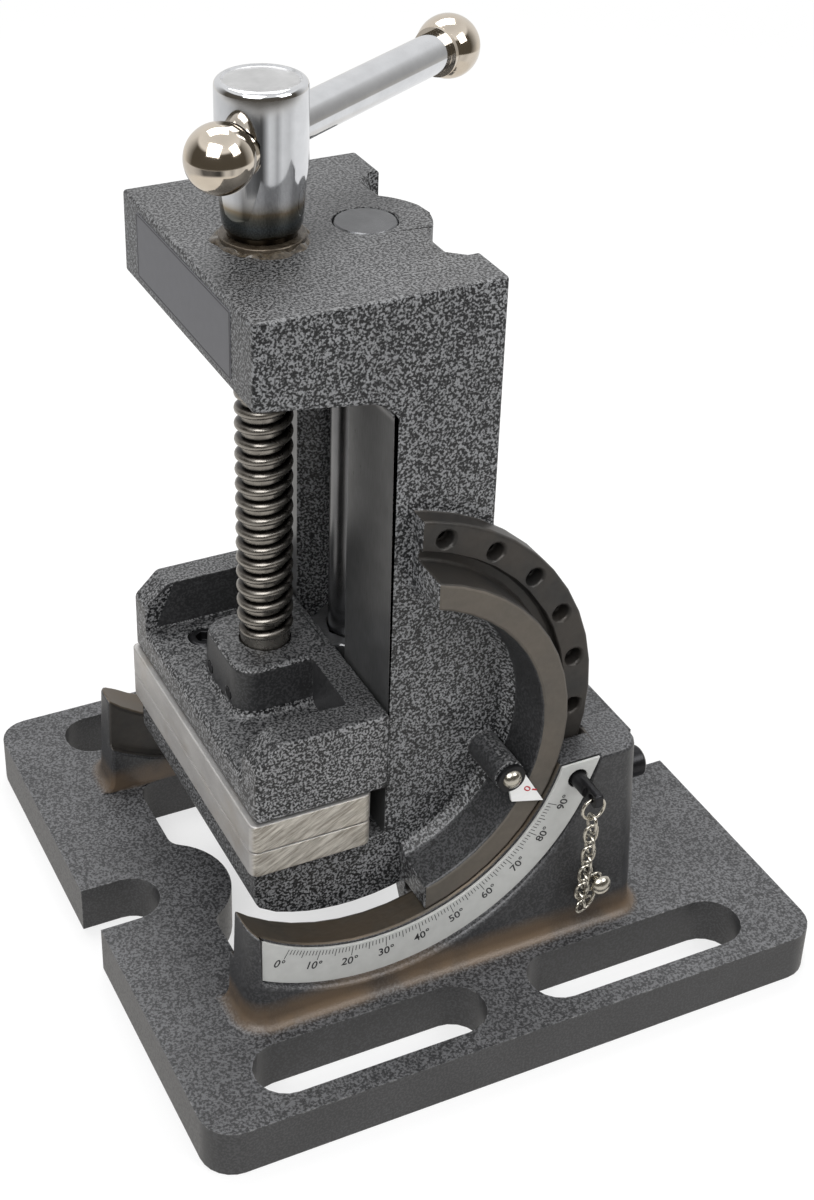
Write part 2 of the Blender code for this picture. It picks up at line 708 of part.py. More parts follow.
def chain_screw_bore():
    """The small bore for the chain's drive screw."""
    start = (CHAIN_SCREW_X, -cheek_face(CHAIN_SCREW_Z) - OVERRUN, CHAIN_SCREW_Z)
    length = OVERRUN + CHAIN_SCREW_BITE + SEAT_GAP
    return cylinder("chain screw bore", start, (0, 1, 0), CHAIN_SCREW_RADIUS + SEAT_GAP, length, TINY_STEPS)


def degree_scale():
    """The bent end, the pin's notch and the curved band of the scale plate."""
    end = math.radians(SCALE_END_ANGLE)
    corner = (TILT_X + SCALE_OUTER * math.cos(end), TILT_Z + SCALE_OUTER * math.sin(end))
    ear = (SCALE_EAR_X, SCALE_EAR_Z)
    low = math.degrees(math.atan2(corner[1] - PIN_Z, corner[0] - PIN_X))
    high = math.degrees(math.atan2(ear[1] - PIN_Z, ear[0] - PIN_X))
    top = YOKE_TOP - SCALE_TOP_DROP
    points = tilt_arc(SCALE_OUTER, tilt_angle(SCALE_OUTER, SCALE_LEFT), SCALE_END_ANGLE, 40)
    points += arc(PIN_X, PIN_Z, NOTCH_RADIUS, low, high - 360, 14)
    points += [ear, (SCALE_TOP_RIGHT, top)]
    start = math.degrees(math.asin((top - TILT_Z) / SCALE_INNER))
    points += tilt_arc(SCALE_INNER, start, tilt_angle(SCALE_INNER, SCALE_LEFT), 40)
    back = -SCALE_FLOOR - SEAT_GAP
    return finish(prism("degree_scale", [points], back - SCALE_THICKNESS, back, "XZ"), ALUMINIUM)


def trunnion(side):
    """One side's flange and ring about the tilt axis, without the half in front of the ways."""
    face = FLANGE_FACE
    root = RING_RADIUS + RELIEF_WIDTH
    buried = COLUMN_HALF_WIDTH - 3 * JOIN_DEPTH
    profile = [
        (RING_INNER, RING_FACE),
        (RING_RADIUS, RING_FACE),
        (RING_RADIUS, face - RELIEF_DEPTH),
        (root, face - RELIEF_DEPTH),
        (root, face),
        (FLANGE_RADIUS - FLANGE_EDGE, face),
        (FLANGE_RADIUS, face - FLANGE_EDGE),
        (FLANGE_RADIUS, COLUMN_HALF_WIDTH - FLANGE_EDGE),
        (DISC_RADIUS + 2 * JOIN_DEPTH, COLUMN_HALF_WIDTH - FLANGE_EDGE),
        (DISC_RADIUS - 2 * JOIN_DEPTH, buried),
        (RING_INNER - 3 * RING_FILLET, buried),
        (RING_INNER - 1.6 * RING_FILLET, COLUMN_HALF_WIDTH + 0.2 * RING_FILLET),
        (RING_INNER - 0.7 * RING_FILLET, COLUMN_HALF_WIDTH + 1.2 * RING_FILLET),
    ]
    solid = turned(f"trunnion {side}", profile, (TILT_X, 0, TILT_Z), (0, side, 0), FINE_STEPS)
    reach = FLANGE_RADIUS + OVERRUN
    low = (TILT_X - reach, -RING_FACE - OVERRUN, TILT_Z - reach)
    high = (TRUNNION_CUT, RING_FACE + OVERRUN, TILT_Z + reach)
    cut(solid, box(f"trunnion end {side}", low, high))
    return solid


def side_outline():
    """The casting's side view: head block, ways, fixed jaw, and the discs behind the column."""
    slope = (HEAD_FRONT_UNDERSIDE - HEAD_BACK_UNDERSIDE) / (HEAD_FRONT + HEAD_FILLET - COLUMN_FRONT)
    fillet_x = COLUMN_FRONT - HEAD_FILLET
    underside = HEAD_BACK_UNDERSIDE + slope * (HEAD_FRONT - fillet_x)
    left = FIXED_JAW_LEFT
    corner = FIXED_JAW_CORNER
    top = FIXED_JAW_TOP
    step = TRUNNION_CUT + JOIN_DEPTH
    points = [(HEAD_FRONT, HEAD_TOP), (HEAD_FRONT, underside)]
    points += arc(fillet_x, HEAD_BACK_UNDERSIDE - HEAD_FILLET, HEAD_FILLET, 90, 0, 5)
    points += [(COLUMN_FRONT, top), (left, top)]
    points += arc(left + corner, top - FIXED_JAW_DROP, corner, 180, 215, 3)
    points += tilt_arc(FIXED_JAW_SWEEP, -114, tilt_angle(FIXED_JAW_SWEEP, step), 8)
    points += tilt_arc(DISC_RADIUS, tilt_angle(DISC_RADIUS, step), -tilt_angle(DISC_RADIUS, COLUMN_BACK), 20)
    return points + [(COLUMN_BACK, HEAD_TOP)]


def channel_outline():
    """The guide channel in plan, open between the ways."""
    front = COLUMN_FRONT - 2 * HEAD_FILLET
    neck = COLUMN_FRONT + CHANNEL_NECK
    half = [(neck, CHANNEL_RADIUS), (COLUMN_FRONT, CHANNEL_MOUTH), (front, CHANNEL_MOUTH)]
    points = arc(ROD_X, 0, CHANNEL_RADIUS, -90, 90, 14)
    return points + half + [(across, -along) for across, along in half[::-1]]


def back_outline():
    """What the back lacks in plan: the space between the ribs, round the lobe of the guide rod."""
    corner = COLUMN_CORNER
    far = TILT_X + DISC_RADIUS + OVERRUN
    half = arc(ROD_X, 0, CHANNEL_RADIUS + LOBE_WALL, 0, 52, 7)
    half += [(NOTCH_FLOOR, NOTCH_INNER), (NOTCH_FLOOR, NOTCH_OUTER)]
    half += [(COLUMN_BACK - corner, RIB_INNER), (far, RIB_INNER)]
    return half + [(across, -along) for across, along in half[:0:-1]]


def ease_body(body):
    """Round the casting's sharp edges, most of all round the head block and down the back."""
    work = bmesh.new()
    work.from_mesh(body.data)
    weights = work.edges.layers.float.new("bevel_weight_edge")
    shoulder = HEAD_BACK_UNDERSIDE - HEAD_FILLET
    for edge in work.edges:
        if edge.calc_face_angle() < math.radians(50):
            continue
        middle = body.matrix_world @ ((edge.verts[0].co + edge.verts[1].co) / 2)
        on_head = middle.z > shoulder or middle.x > COLUMN_BACK - MERGE_DISTANCE
        edge[weights] = 1 if on_head else BODY_EDGE_SHARE
    work.to_mesh(body.data)
    work.free()
    round_edges(body, HEAD_EDGE)
    body.modifiers[-1].limit_method = "WEIGHT"


def vise_body(tilt):
    """The tilting casting: column, head block, fixed jaw and trunnions."""
    body = prism("vise_body", [side_outline()], -COLUMN_HALF_WIDTH, COLUMN_HALF_WIDTH, "XZ")
    ease_body(body)
    low = TILT_Z - FLANGE_RADIUS - OVERRUN
    floor = FIXED_JAW_TOP + JAW_EDGE
    cut(
        body,
        prism("guide channel", [channel_outline()], floor, HEAD_BACK_UNDERSIDE - JOIN_DEPTH),
        prism("back space", [back_outline()], low, HEAD_TOP + OVERRUN),
    )
    join(body, trunnion(-1), trunnion(1), pointer_boss())
    cut(
        body,
        cylinder("rod bore", (ROD_X, 0, ROD_SEAT - SEAT_GAP), (0, 0, 1), ROD_RADIUS + SEAT_GAP, HEAD_TOP, ROUND_STEPS),
        cylinder("nut bore", (SCREW_X, 0, TILT_Z), (0, 0, 1), THREAD_RADIUS + SEAT_GAP, HEAD_TOP, ROUND_STEPS),
        pointer_screw_bore(),
        *index_bores(),
        *fixed_jaw_bores(),
    )
    return finish(body, HAMMERTONE, tilt)


def index_bores():
    """Index holes in the near flange, one every INDEX_STEP degrees of tilt."""
    bores = []
    face = -FLANGE_FACE - OVERRUN
    for index in range(INDEX_COUNT):
        angle = math.radians(INDEX_FIRST + INDEX_STEP * index)
        place = (TILT_X + INDEX_RADIUS * math.cos(angle), face, TILT_Z + INDEX_RADIUS * math.sin(angle))
        depth = OVERRUN + INDEX_DEPTH
        bores.append(cylinder(f"index bore {index}", place, (0, 1, 0), PIN_RADIUS + SEAT_GAP, depth, TINY_STEPS))
    return bores


def pointer_boss():
    """The boss inside the near ring that carries the pointer."""
    start = (POINTER_SCREW_X, -COLUMN_HALF_WIDTH + JOIN_DEPTH, POINTER_SCREW_Z)
    length = RING_FACE - SEAT_GAP - COLUMN_HALF_WIDTH + JOIN_DEPTH
    return cylinder("pointer boss", start, (0, -1, 0), POINTER_BOSS, length)


def pointer_screw_bore():
    """The bore for the pointer's screw."""
    start = (POINTER_SCREW_X, -RING_FACE - OVERRUN, POINTER_SCREW_Z)
    length = OVERRUN + POINTER_SCREW_LENGTH
    return cylinder("pointer bore", start, (0, 1, 0), POINTER_SCREW_RADIUS + SEAT_GAP, length, TINY_STEPS)


def fixed_jaw_bores():
    """Counterbored holes up through the fixed jaw for its plate's screws."""
    bores = []
    low = TILT_Z - FLANGE_RADIUS
    for side in (-1, 1):
        place = (JAW_SCREW_X, side * JAW_SCREW_Y, low)
        shoulder = FIXED_JAW_TOP - JAW_SCREW_FLOOR
        bores.append(cylinder("jaw bore", place, (0, 0, 1), JAW_SCREW_RADIUS + SEAT_GAP, TILT_Z - low))
        head = JAW_SCREW_HEAD_RADIUS + SEAT_GAP
        bores.append(cylinder("jaw counterbore", place, (0, 0, 1), head, shoulder - low))
    return bores


def guide_rod(tilt):
    """The polished rod between fixed jaw and head block, flush with the block's top."""
    edge = ROD_EDGE
    profile = [
        (0, HEAD_TOP),
        (ROD_RADIUS - edge, HEAD_TOP),
        (ROD_RADIUS, HEAD_TOP - edge),
        (ROD_RADIUS, ROD_SEAT + edge),
        (ROD_RADIUS - edge, ROD_SEAT),
        (0, ROD_SEAT),
    ]
    return finish(turned("guide_rod", profile, (ROD_X, 0, 0), (0, 0, 1)), ROD_STEEL, tilt)


def jaw_plate(name, low, high, screw_face, parent):
    """A ground jaw plate, drilled blind from behind for its two screws."""
    outline = rounded_box(JAW_LEFT, JAW_RIGHT, -JAW_HALF_WIDTH, JAW_HALF_WIDTH, JAW_CORNER, 3)
    plate = prism(name, [outline], low, high)
    round_edges(plate, JAW_EDGE, 1, 60)
    inward = 1 if screw_face == low else -1
    for side in (-1, 1):
        start = (JAW_SCREW_X, side * JAW_SCREW_Y, screw_face - inward * OVERRUN)
        depth = OVERRUN + JAW_SCREW_BITE + SEAT_GAP
        tool = cylinder(f"{name} bore {side}", start, (0, 0, inward), JAW_SCREW_RADIUS + SEAT_GAP, depth)
        cut(plate, tool)
    return finish(plate, GROUND_STEEL, parent)


def socket_cutter(name, radius, height, place, direction):
    """A hexagon socket in a screw's head."""
    start = Vector(place) - Vector(direction) * (height * SOCKET_DEPTH_SHARE)
    length = height * SOCKET_DEPTH_SHARE + OVERRUN
    return cylinder(name, start, direction, radius * SOCKET_SHARE, length, 6)


def jaw_screws(name, shoulder, plate_face, up, parent):
    """Two socket screws that hold a jaw plate from behind; up is where their heads face."""
    length = abs(shoulder - plate_face) + JAW_SCREW_BITE
    head = JAW_SCREW_HEAD
    profile = [
        (0, head),
        (JAW_SCREW_HEAD_RADIUS - JAW_EDGE, head),
        (JAW_SCREW_HEAD_RADIUS, head - JAW_EDGE),
        (JAW_SCREW_HEAD_RADIUS, SEAT_GAP),
        (JAW_SCREW_RADIUS, SEAT_GAP),
        (JAW_SCREW_RADIUS, JAW_EDGE - length),
        (JAW_SCREW_RADIUS - JAW_EDGE, -length),
        (0, -length),
    ]
    for side, word in SIDES:
        place = (JAW_SCREW_X, side * JAW_SCREW_Y, shoulder)
        screw = turned(f"{name}_{word}", profile, place, (0, 0, up), TINY_STEPS)
        crown = (place[0], place[1], shoulder + up * head)
        cut(screw, socket_cutter(f"{name} socket {word}", JAW_SCREW_HEAD_RADIUS, head, crown, (0, 0, up)))
        finish(screw, BLACK_OXIDE, parent)


def carriage_outline():
    """The movable jaw's side view: eased front, chamfered ears, flat back on the ways."""
    left = CARRIAGE_LEFT
    ear = EAR_CHAMFER
    return [
        (left, CARRIAGE_BOTTOM),
        (CARRIAGE_RIGHT, CARRIAGE_BOTTOM),
        (CARRIAGE_RIGHT, CARRIAGE_TOP),
        (left + ear, CARRIAGE_TOP),
        (left, CARRIAGE_TOP - ear),
    ]


def tray_cutter():
    """The tray between the movable jaw's ears: open to the front over an eased lip."""
    left = CARRIAGE_LEFT
    low = POCKET_Z - FRONT_LIP
    top = BOSS_TOP + OVERRUN
    points = [(left - OVERRUN, low)]
    points += arc(left + FRONT_LIP, low, FRONT_LIP, 180, 90, 4)
    points += [(POCKET_BACK, POCKET_Z), (POCKET_BACK, top), (left - OVERRUN, top)]
    tray = prism("tray", [points], -POCKET_HALF_WIDTH, POCKET_HALF_WIDTH, "XZ")
    round_edges(tray, POCKET_CORNER, 3, 60)
    return tray


def boss_section(spread):
    """The screw boss in plan, grown by a spread."""
    half = BOSS_HALF_WIDTH + spread
    left = SCREW_X - BOSS_HALF_LENGTH - spread
    return rounded_box(left, SCREW_X + BOSS_HALF_LENGTH, -half, half, BOSS_CORNER, 4)


def screw_boss():
    """The boss that the lead screw's journal turns in, with a small foot and a rounded top."""
    return loft(
        "screw boss",
        [
            (POCKET_Z - JOIN_DEPTH, boss_section(BOSS_FOOT)),
            (POCKET_Z, boss_section(BOSS_FOOT)),
            (POCKET_Z + BOSS_FOOT / 3, boss_section(BOSS_FOOT / 3)),
            (POCKET_Z + BOSS_FOOT, boss_section(0)),
            (BOSS_TOP - CARRIAGE_EDGE, boss_section(-CARRIAGE_EDGE / 2)),
            (BOSS_TOP, boss_section(-CARRIAGE_EDGE * 1.5)),
        ],
    )


def guide_outline():
    """The guide behind the movable jaw, in plan: a neck and a round head about the rod."""
    turn = math.degrees(math.asin(GUIDE_NECK / GUIDE_RADIUS))
    inside = CARRIAGE_RIGHT - JOIN_DEPTH
    points = [(inside, GUIDE_NECK), (inside, -GUIDE_NECK)]
    return points + arc(ROD_X, 0, GUIDE_RADIUS, turn - 180, 180 - turn, 24)


def movable_jaw(slide):
    """The movable jaw's casting: tray, ears, screw boss and guide."""
    jaw = prism("movable_jaw", [carriage_outline()], -CARRIAGE_HALF_WIDTH, CARRIAGE_HALF_WIDTH, "XZ")
    round_edges(jaw, CARRIAGE_EDGE, 2, 25)
    guide = prism("guide", [guide_outline()], CARRIAGE_BOTTOM + 2 * CARRIAGE_EDGE, CARRIAGE_TOP - 2 * CARRIAGE_EDGE)
    cut(jaw, tray_cutter())
    join(jaw, screw_boss(), guide)
    rod_start = (ROD_X, 0, CARRIAGE_BOTTOM - OVERRUN)
    reach = CARRIAGE_HEIGHT + 3 * OVERRUN
    journal_start = (SCREW_X, 0, JOURNAL_BOTTOM)
    cut(
        jaw,
        cylinder("guide bore", rod_start, (0, 0, 1), ROD_RADIUS + SEAT_GAP, reach, ROUND_STEPS),
        cylinder("journal bore", journal_start, (0, 0, 1), JOURNAL_RADIUS + SEAT_GAP, reach, ROUND_STEPS),
    )
    for side in (-1, 1):
        start = (SCREW_X - BOSS_HALF_LENGTH - OVERRUN, side * KEEPER_Y, KEEPER_Z)
        length = OVERRUN + KEEPER_LENGTH + SEAT_GAP
        cut(jaw, cylinder(f"keeper bore {side}", start, (1, 0, 0), KEEPER_RADIUS + SEAT_GAP, length, TINY_STEPS))
        shank = (JAW_SCREW_X, side * JAW_SCREW_Y, CARRIAGE_BOTTOM - OVERRUN)
        cut(jaw, cylinder(f"plate bore {side}", shank, (0, 0, 1), JAW_SCREW_RADIUS + SEAT_GAP, 3 * OVERRUN))
        seat = (JAW_SCREW_X, side * JAW_SCREW_Y, movable_shoulder())
        cut(jaw, cylinder(f"plate seat {side}", seat, (0, 0, 1), JAW_SCREW_HEAD_RADIUS + SEAT_GAP, OVERRUN))
    return finish(jaw, HAMMERTONE, slide)


def movable_shoulder():
    """The height at which the movable plate's screw heads seat in the tray's floor."""
    return POCKET_Z - JAW_SCREW_HEAD


def retaining_pins(slide):
    """Two pins across the journal's groove, which hold the screw in the movable jaw."""
    for side, word in SIDES:
        start = (SCREW_X - BOSS_HALF_LENGTH, side * KEEPER_Y, KEEPER_Z)
        name = f"screw_retaining_pin_{word}"
        finish(cylinder(name, start, (1, 0, 0), KEEPER_RADIUS, KEEPER_LENGTH, TINY_STEPS), BLACK_OXIDE, slide)


def lead_screw(turn):
    """The screw: journal and groove, threaded length, collar and the spigot for its head."""
    groove = KEEPER_RADIUS + SEAT_GAP
    bottom = JOURNAL_BOTTOM + SEAT_GAP
    profile = [
        (0, KNOB_BOTTOM + SPIGOT_HEIGHT),
        (SPIGOT_RADIUS, KNOB_BOTTOM + SPIGOT_HEIGHT),
        (SPIGOT_RADIUS, COLLAR_TOP),
        (COLLAR_RADIUS - COLLAR_EDGE, COLLAR_TOP),
        (COLLAR_RADIUS, COLLAR_TOP - COLLAR_EDGE),
        (COLLAR_RADIUS, COLLAR_BOTTOM),
        (THREAD_RADIUS, COLLAR_BOTTOM),
        (THREAD_RADIUS, THREAD_START),
        (JOURNAL_RADIUS, THREAD_START - JOURNAL_CHAMFER),
        (JOURNAL_RADIUS, KEEPER_Z + groove),
        (GROOVE_RADIUS, KEEPER_Z + groove),
        (GROOVE_RADIUS, KEEPER_Z - groove),
        (JOURNAL_RADIUS, KEEPER_Z - groove),
        (JOURNAL_RADIUS, bottom + JOURNAL_CHAMFER),
        (JOURNAL_RADIUS - JOURNAL_CHAMFER, bottom),
        (0, bottom),
    ]
    return finish(turned("lead_screw", profile, (SCREW_X, 0, 0), (0, 0, 1)), SCREW_STEEL, turn)


def thrust_washer(turn):
    """The washer between the collar and the head block."""
    top = WASHER_BOTTOM + WASHER_THICKNESS
    inner = THREAD_RADIUS + SEAT_GAP
    profile = [(WASHER_RADIUS, top), (WASHER_RADIUS, WASHER_BOTTOM), (inner, WASHER_BOTTOM), (inner, top)]
    return finish(turned("thrust_washer", profile, (SCREW_X, 0, 0), (0, 0, 1)), BLACK_OXIDE, turn)


def screw_head(turn):
    """The chrome head, bored for the T-bar with a ball seat at each mouth."""
    disc = KNOB_DISC_RADIUS
    profile = [(0, KNOB_TOP - KNOB_DISC_DROP), (disc, KNOB_TOP - KNOB_DISC_DROP), (disc, KNOB_TOP)]
    profile += arc(KNOB_RADIUS - KNOB_RIM, KNOB_TOP - KNOB_RIM, KNOB_RIM, 80, 0, 3)
    profile += [(KNOB_RADIUS, KNOB_BOTTOM + COLLAR_EDGE), (KNOB_RADIUS - COLLAR_EDGE, KNOB_BOTTOM), (0, KNOB_BOTTOM)]
    head = turned("screw_head", profile, (SCREW_X, 0, 0), (0, 0, 1))
    place = Vector((SCREW_X, 0, BAR_Z))
    start = place - BAR_AXIS * (KNOB_RADIUS + OVERRUN)
    length = 2 * (KNOB_RADIUS + OVERRUN)
    below = (SCREW_X, 0, KNOB_BOTTOM - OVERRUN)
    depth = OVERRUN + SPIGOT_HEIGHT + SEAT_GAP
    cut(
        head,
        cylinder("bar bore", start, BAR_AXIS, BAR_RADIUS + SEAT_GAP, length),
        cylinder("spigot bore", below, (0, 0, 1), SPIGOT_RADIUS + SEAT_GAP, depth),
        sphere("near ball seat", place - BAR_AXIS * BALL_SEAT, BALL_RADIUS + SEAT_GAP, BAR_AXIS),
        sphere("far ball seat", place + BAR_AXIS * BALL_SEAT, BALL_RADIUS + SEAT_GAP, BAR_AXIS),
    )
    return finish(head, CHROME, turn)


def handle_bar(slide):
    """The T-bar, a straight rod between its two balls."""
    curve = bpy.data.curves.new("handle_bar", "CURVE")
    curve.dimensions = "3D"
    curve.bevel_depth = BAR_RADIUS
    curve.bevel_resolution = 4
    curve.use_fill_caps = True
    spline = curve.splines.new("POLY")
    spline.points.add(1)
    inset = SEAT_GAP
    spline.points[0].co = (*(BAR_AXIS * (inset - BALL_SEAT)), 1)
    spline.points[1].co = (*(BAR_AXIS * (BALL_SEAT + BAR_TRAVEL - inset)), 1)
    shape = bpy.data.objects.new("handle_bar", curve)
    shape.location = (SCREW_X, 0, BAR_Z)
    return finish(as_mesh(shape), CHROME, slide)


def handle_ball(name, reach, slide):
    """A ball on one end of the T-bar, bored to its middle."""
    center = Vector((SCREW_X, 0, BAR_Z)) + BAR_AXIS * reach
    inward = BAR_AXIS * (-1 if reach > 0 else 1)
    ball = sphere(name, center, BALL_RADIUS, BAR_AXIS)
    cut(ball, cylinder(f"{name} bore", center, inward, BAR_RADIUS + SEAT_GAP, BALL_RADIUS + OVERRUN))
    return finish(ball, NICKEL, slide)


def pointer(tilt):
    """The white pointer and its round tab under the screw."""
    reach = SADDLE_RADIUS - RUNNING_GAP - POINTER_TIP_GAP
    turn = math.radians(POINTER_TIP_ANGLE)
    tip = (TILT_X + reach * math.cos(turn), TILT_Z + reach * math.sin(turn))
    points = arc(POINTER_SCREW_X, POINTER_SCREW_Z, POINTER_TAB, 55, 265, 12)
    points += [(POINTER_HEEL_X, POINTER_HEEL_Z), tip]
    hole = arc(POINTER_SCREW_X, POINTER_SCREW_Z, POINTER_SCREW_RADIUS + SEAT_GAP, 0, 330, 11)
    back = -RING_FACE - SEAT_GAP
    plate = prism("angle_pointer", [points, hole], back - POINTER_THICKNESS, back, "XZ")
    return finish(plate, ENAMEL, tilt)


def dome_screw(name, shank, reach, head, height, place, look, parent):
    """A round-head screw along Y, its shank running inward from the head's flat."""
    profile = [(0, height)]
    for step in range(1, 5):
        turn = math.radians(90 * step / 4)
        profile.append((head * math.sin(turn), height * math.cos(turn)))
    profile += [(shank, 0), (shank, -reach), (0, -reach)]
    return finish(turned(name, profile, place, (0, -1, 0), TINY_STEPS), look, parent)


def pointer_screw(tilt):
    """The screw that holds the pointer."""
    front = RING_FACE + POINTER_THICKNESS + 2 * SEAT_GAP
    reach = front - RING_FACE + POINTER_SCREW_LENGTH - SEAT_GAP
    place = (POINTER_SCREW_X, -front, POINTER_SCREW_Z)
    size = (POINTER_SCREW_RADIUS, reach, POINTER_HEAD_RADIUS, POINTER_HEAD_HEIGHT)
    return dome_screw("pointer_screw", *size, place, ZINC, tilt)


def chain_screw():
    """The drive screw that holds the chain's last link on the near cheek."""
    front = cheek_face(CHAIN_SCREW_Z) + CHAIN_SCREW_STANDOFF
    reach = CHAIN_SCREW_STANDOFF + CHAIN_SCREW_BITE
    place = (CHAIN_SCREW_X, -front, CHAIN_SCREW_Z)
    size = (CHAIN_SCREW_RADIUS, reach, CHAIN_HEAD_RADIUS, CHAIN_HEAD_HEIGHT)
    return dome_screw("chain_screw", *size, place, ZINC, None)


def index_pin(slide):
    """The index pin, its tip just short of the flange, its tail flat with an eye."""
    tip = FLANGE_FACE + SEAT_GAP + RUNNING_GAP
    tail = cheek_face(PIN_Z) + PIN_TAIL
    profile = [
        (0, tail),
        (PIN_RADIUS - PIN_TIP / 2, tail),
        (PIN_RADIUS, tail - PIN_TIP / 2),
        (PIN_RADIUS, tip + PIN_TIP),
        (PIN_RADIUS - PIN_TIP, tip),
        (0, tip),
    ]
    pin = turned("index_pin", profile, (PIN_X, 0, PIN_Z), (0, -1, 0), SMALL_STEPS)
    reach = PIN_RADIUS + OVERRUN
    for side in (-1, 1):
        inner = PIN_X + side * PIN_FLAT / 2
        outer = PIN_X + side * reach
        low = (min(inner, outer), -tail - OVERRUN, PIN_Z - reach)
        high = (max(inner, outer), PIN_FLAT_LENGTH - tail, PIN_Z + reach)
        cut(pin, box(f"pin flat {side}", low, high))
    start = (PIN_X - OVERRUN, PIN_EYE_INSET - tail, PIN_Z)
    cut(pin, cylinder("pin eye", start, (1, 0, 0), PIN_EYE_RADIUS, 2 * OVERRUN, TINY_STEPS))
    return finish(pin, BLACK_OXIDE, slide)


def wire_loop(name, points, parent=None):
    """A closed loop of wire through a list of points."""
    curve = bpy.data.curves.new(name, "CURVE")
    curve.dimensions = "3D"
    curve.bevel_depth = WIRE_RADIUS
    curve.bevel_resolution = 1
    spline = curve.splines.new("POLY")
    spline.points.add(len(points) - 1)
    for point, place in zip(spline.points, points):
        point.co = (*place, 1)
    spline.use_cyclic_u = True
    return finish(as_mesh(bpy.data.objects.new(name, curve)), ZINC, parent)


def eye_ring_center():
    """The middle of the ring that hangs in the pin's eye."""
    drop = PIN_EYE_RADIUS - WIRE_RADIUS - SEAT_GAP
    tail = cheek_face(PIN_Z) + PIN_TAIL
    return Vector((PIN_X, PIN_EYE_INSET - tail, PIN_Z - drop - EYE_RING_RADIUS))


def pin_ring(slide):
    """The ring between the pin's eye and the chain."""
    center = eye_ring_center()
    points = arc(center.x, center.z, EYE_RING_RADIUS, 0, 337.5, 15)
    return wire_loop("pin_ring", [(across, center.y, along) for across, along in points], slide)


def link_loop(center, along, normal):
    """One link: a long oval wire loop about a center."""
    across = normal.cross(along)
    side = LINK_WIDTH / 2 - WIRE_RADIUS
    straight = LINK_LENGTH / 2 - WIRE_RADIUS - side
    points = []
    for middle, start in ((straight, -90), (-straight, 90)):
        for reach, spread in arc(middle, 0, side, start, start + 180, 5):
            points.append(center + along * reach + across * spread)
    return points


def chain_end_direction():
    """The way the last link points, up to its screw."""
    lean = math.radians(CHAIN_END_LEAN)
    return Vector((math.sin(lean), 0, math.cos(lean)))


def chain_route():
    """The hanging chain's route, from under the ring to the drive screw."""
    link_reach = LINK_LENGTH / 2 - WIRE_RADIUS
    wire_step = 2 * WIRE_RADIUS + SEAT_GAP
    start = eye_ring_center() - Vector((0, 0, EYE_RING_RADIUS - wire_step + link_reach))
    seat = CHAIN_SCREW_RADIUS + WIRE_RADIUS + SEAT_GAP
    level = -cheek_face(CHAIN_SCREW_Z) - CHAIN_SCREW_STANDOFF / 2
    end = Vector((CHAIN_SCREW_X, level, CHAIN_SCREW_Z)) - chain_end_direction() * (link_reach - seat)
    height = PLATE_THICKNESS + CHAIN_DROOP_RISE
    low = Vector((PIN_X + CHAIN_DROOP_SHIFT, -cheek_face(height) - CHAIN_DROOP_GAP, height))
    points = [start]
    for shares in CHAIN_SLACK_SHARES:
        points.append(Vector(start[axis] + (low[axis] - start[axis]) * shares[axis] for axis in range(3)))
    points.append(low)
    turn = (low + end) / 2
    points.append(Vector((turn.x, turn.y, low.z)))
    return points + [end]


def smooth_route(points, steps=12):
    """A smooth curve through the route's own points."""
    padded = [2 * points[0] - points[1], *points, 2 * points[-1] - points[-2]]
    route = []
    for before, first, second, after in zip(padded, padded[1:], padded[2:], padded[3:]):
        for step in range(steps):
            share = step / steps
            bend = first * 2 + (second - before) * share
            bend += (before * 2 - first * 5 + second * 4 - after) * share**2
            bend += (first * 3 - before - second * 3 + after) * share**3
            route.append(bend / 2)
    return route + [points[-1]]


def spaced(route, count):
    """Places and directions at even distances along a route."""
    lengths = [0]
    for start, stop in zip(route, route[1:]):
        lengths.append(lengths[-1] + (stop - start).length)
    places = []
    for index in range(count):
        goal = lengths[-1] * index / (count - 1)
        piece = next(i for i in range(1, len(lengths)) if lengths[i] >= goal - MERGE_DISTANCE)
        share = (goal - lengths[piece - 1]) / (lengths[piece] - lengths[piece - 1])
        places.append(route[piece - 1].lerp(route[piece], share))
    directions = []
    for index in range(count):
        before = places[max(index - 1, 0)]
        after = places[min(index + 1, count - 1)]
        directions.append((before - after).normalized())
    return list(zip(places, directions))


def chain_places():
    """Each link's middle and the way it points, the last one up to its screw."""
    places = spaced(smooth_route(chain_route()), LINK_COUNT)
    return places[:-1] + [(places[-1][0], -chain_end_direction())]


def retaining_chain():
    """Interlinked wire loops, each turned a quarter from the last."""
    for index, (place, along) in enumerate(chain_places()):
        flat = Vector((0, 1, 0))
        flat = (flat - along * flat.dot(along)).normalized()
        normal = flat if index % 2 else along.cross(flat)
        wire_loop(f"chain_link_{index + 1:02d}", link_loop(place, along, normal))


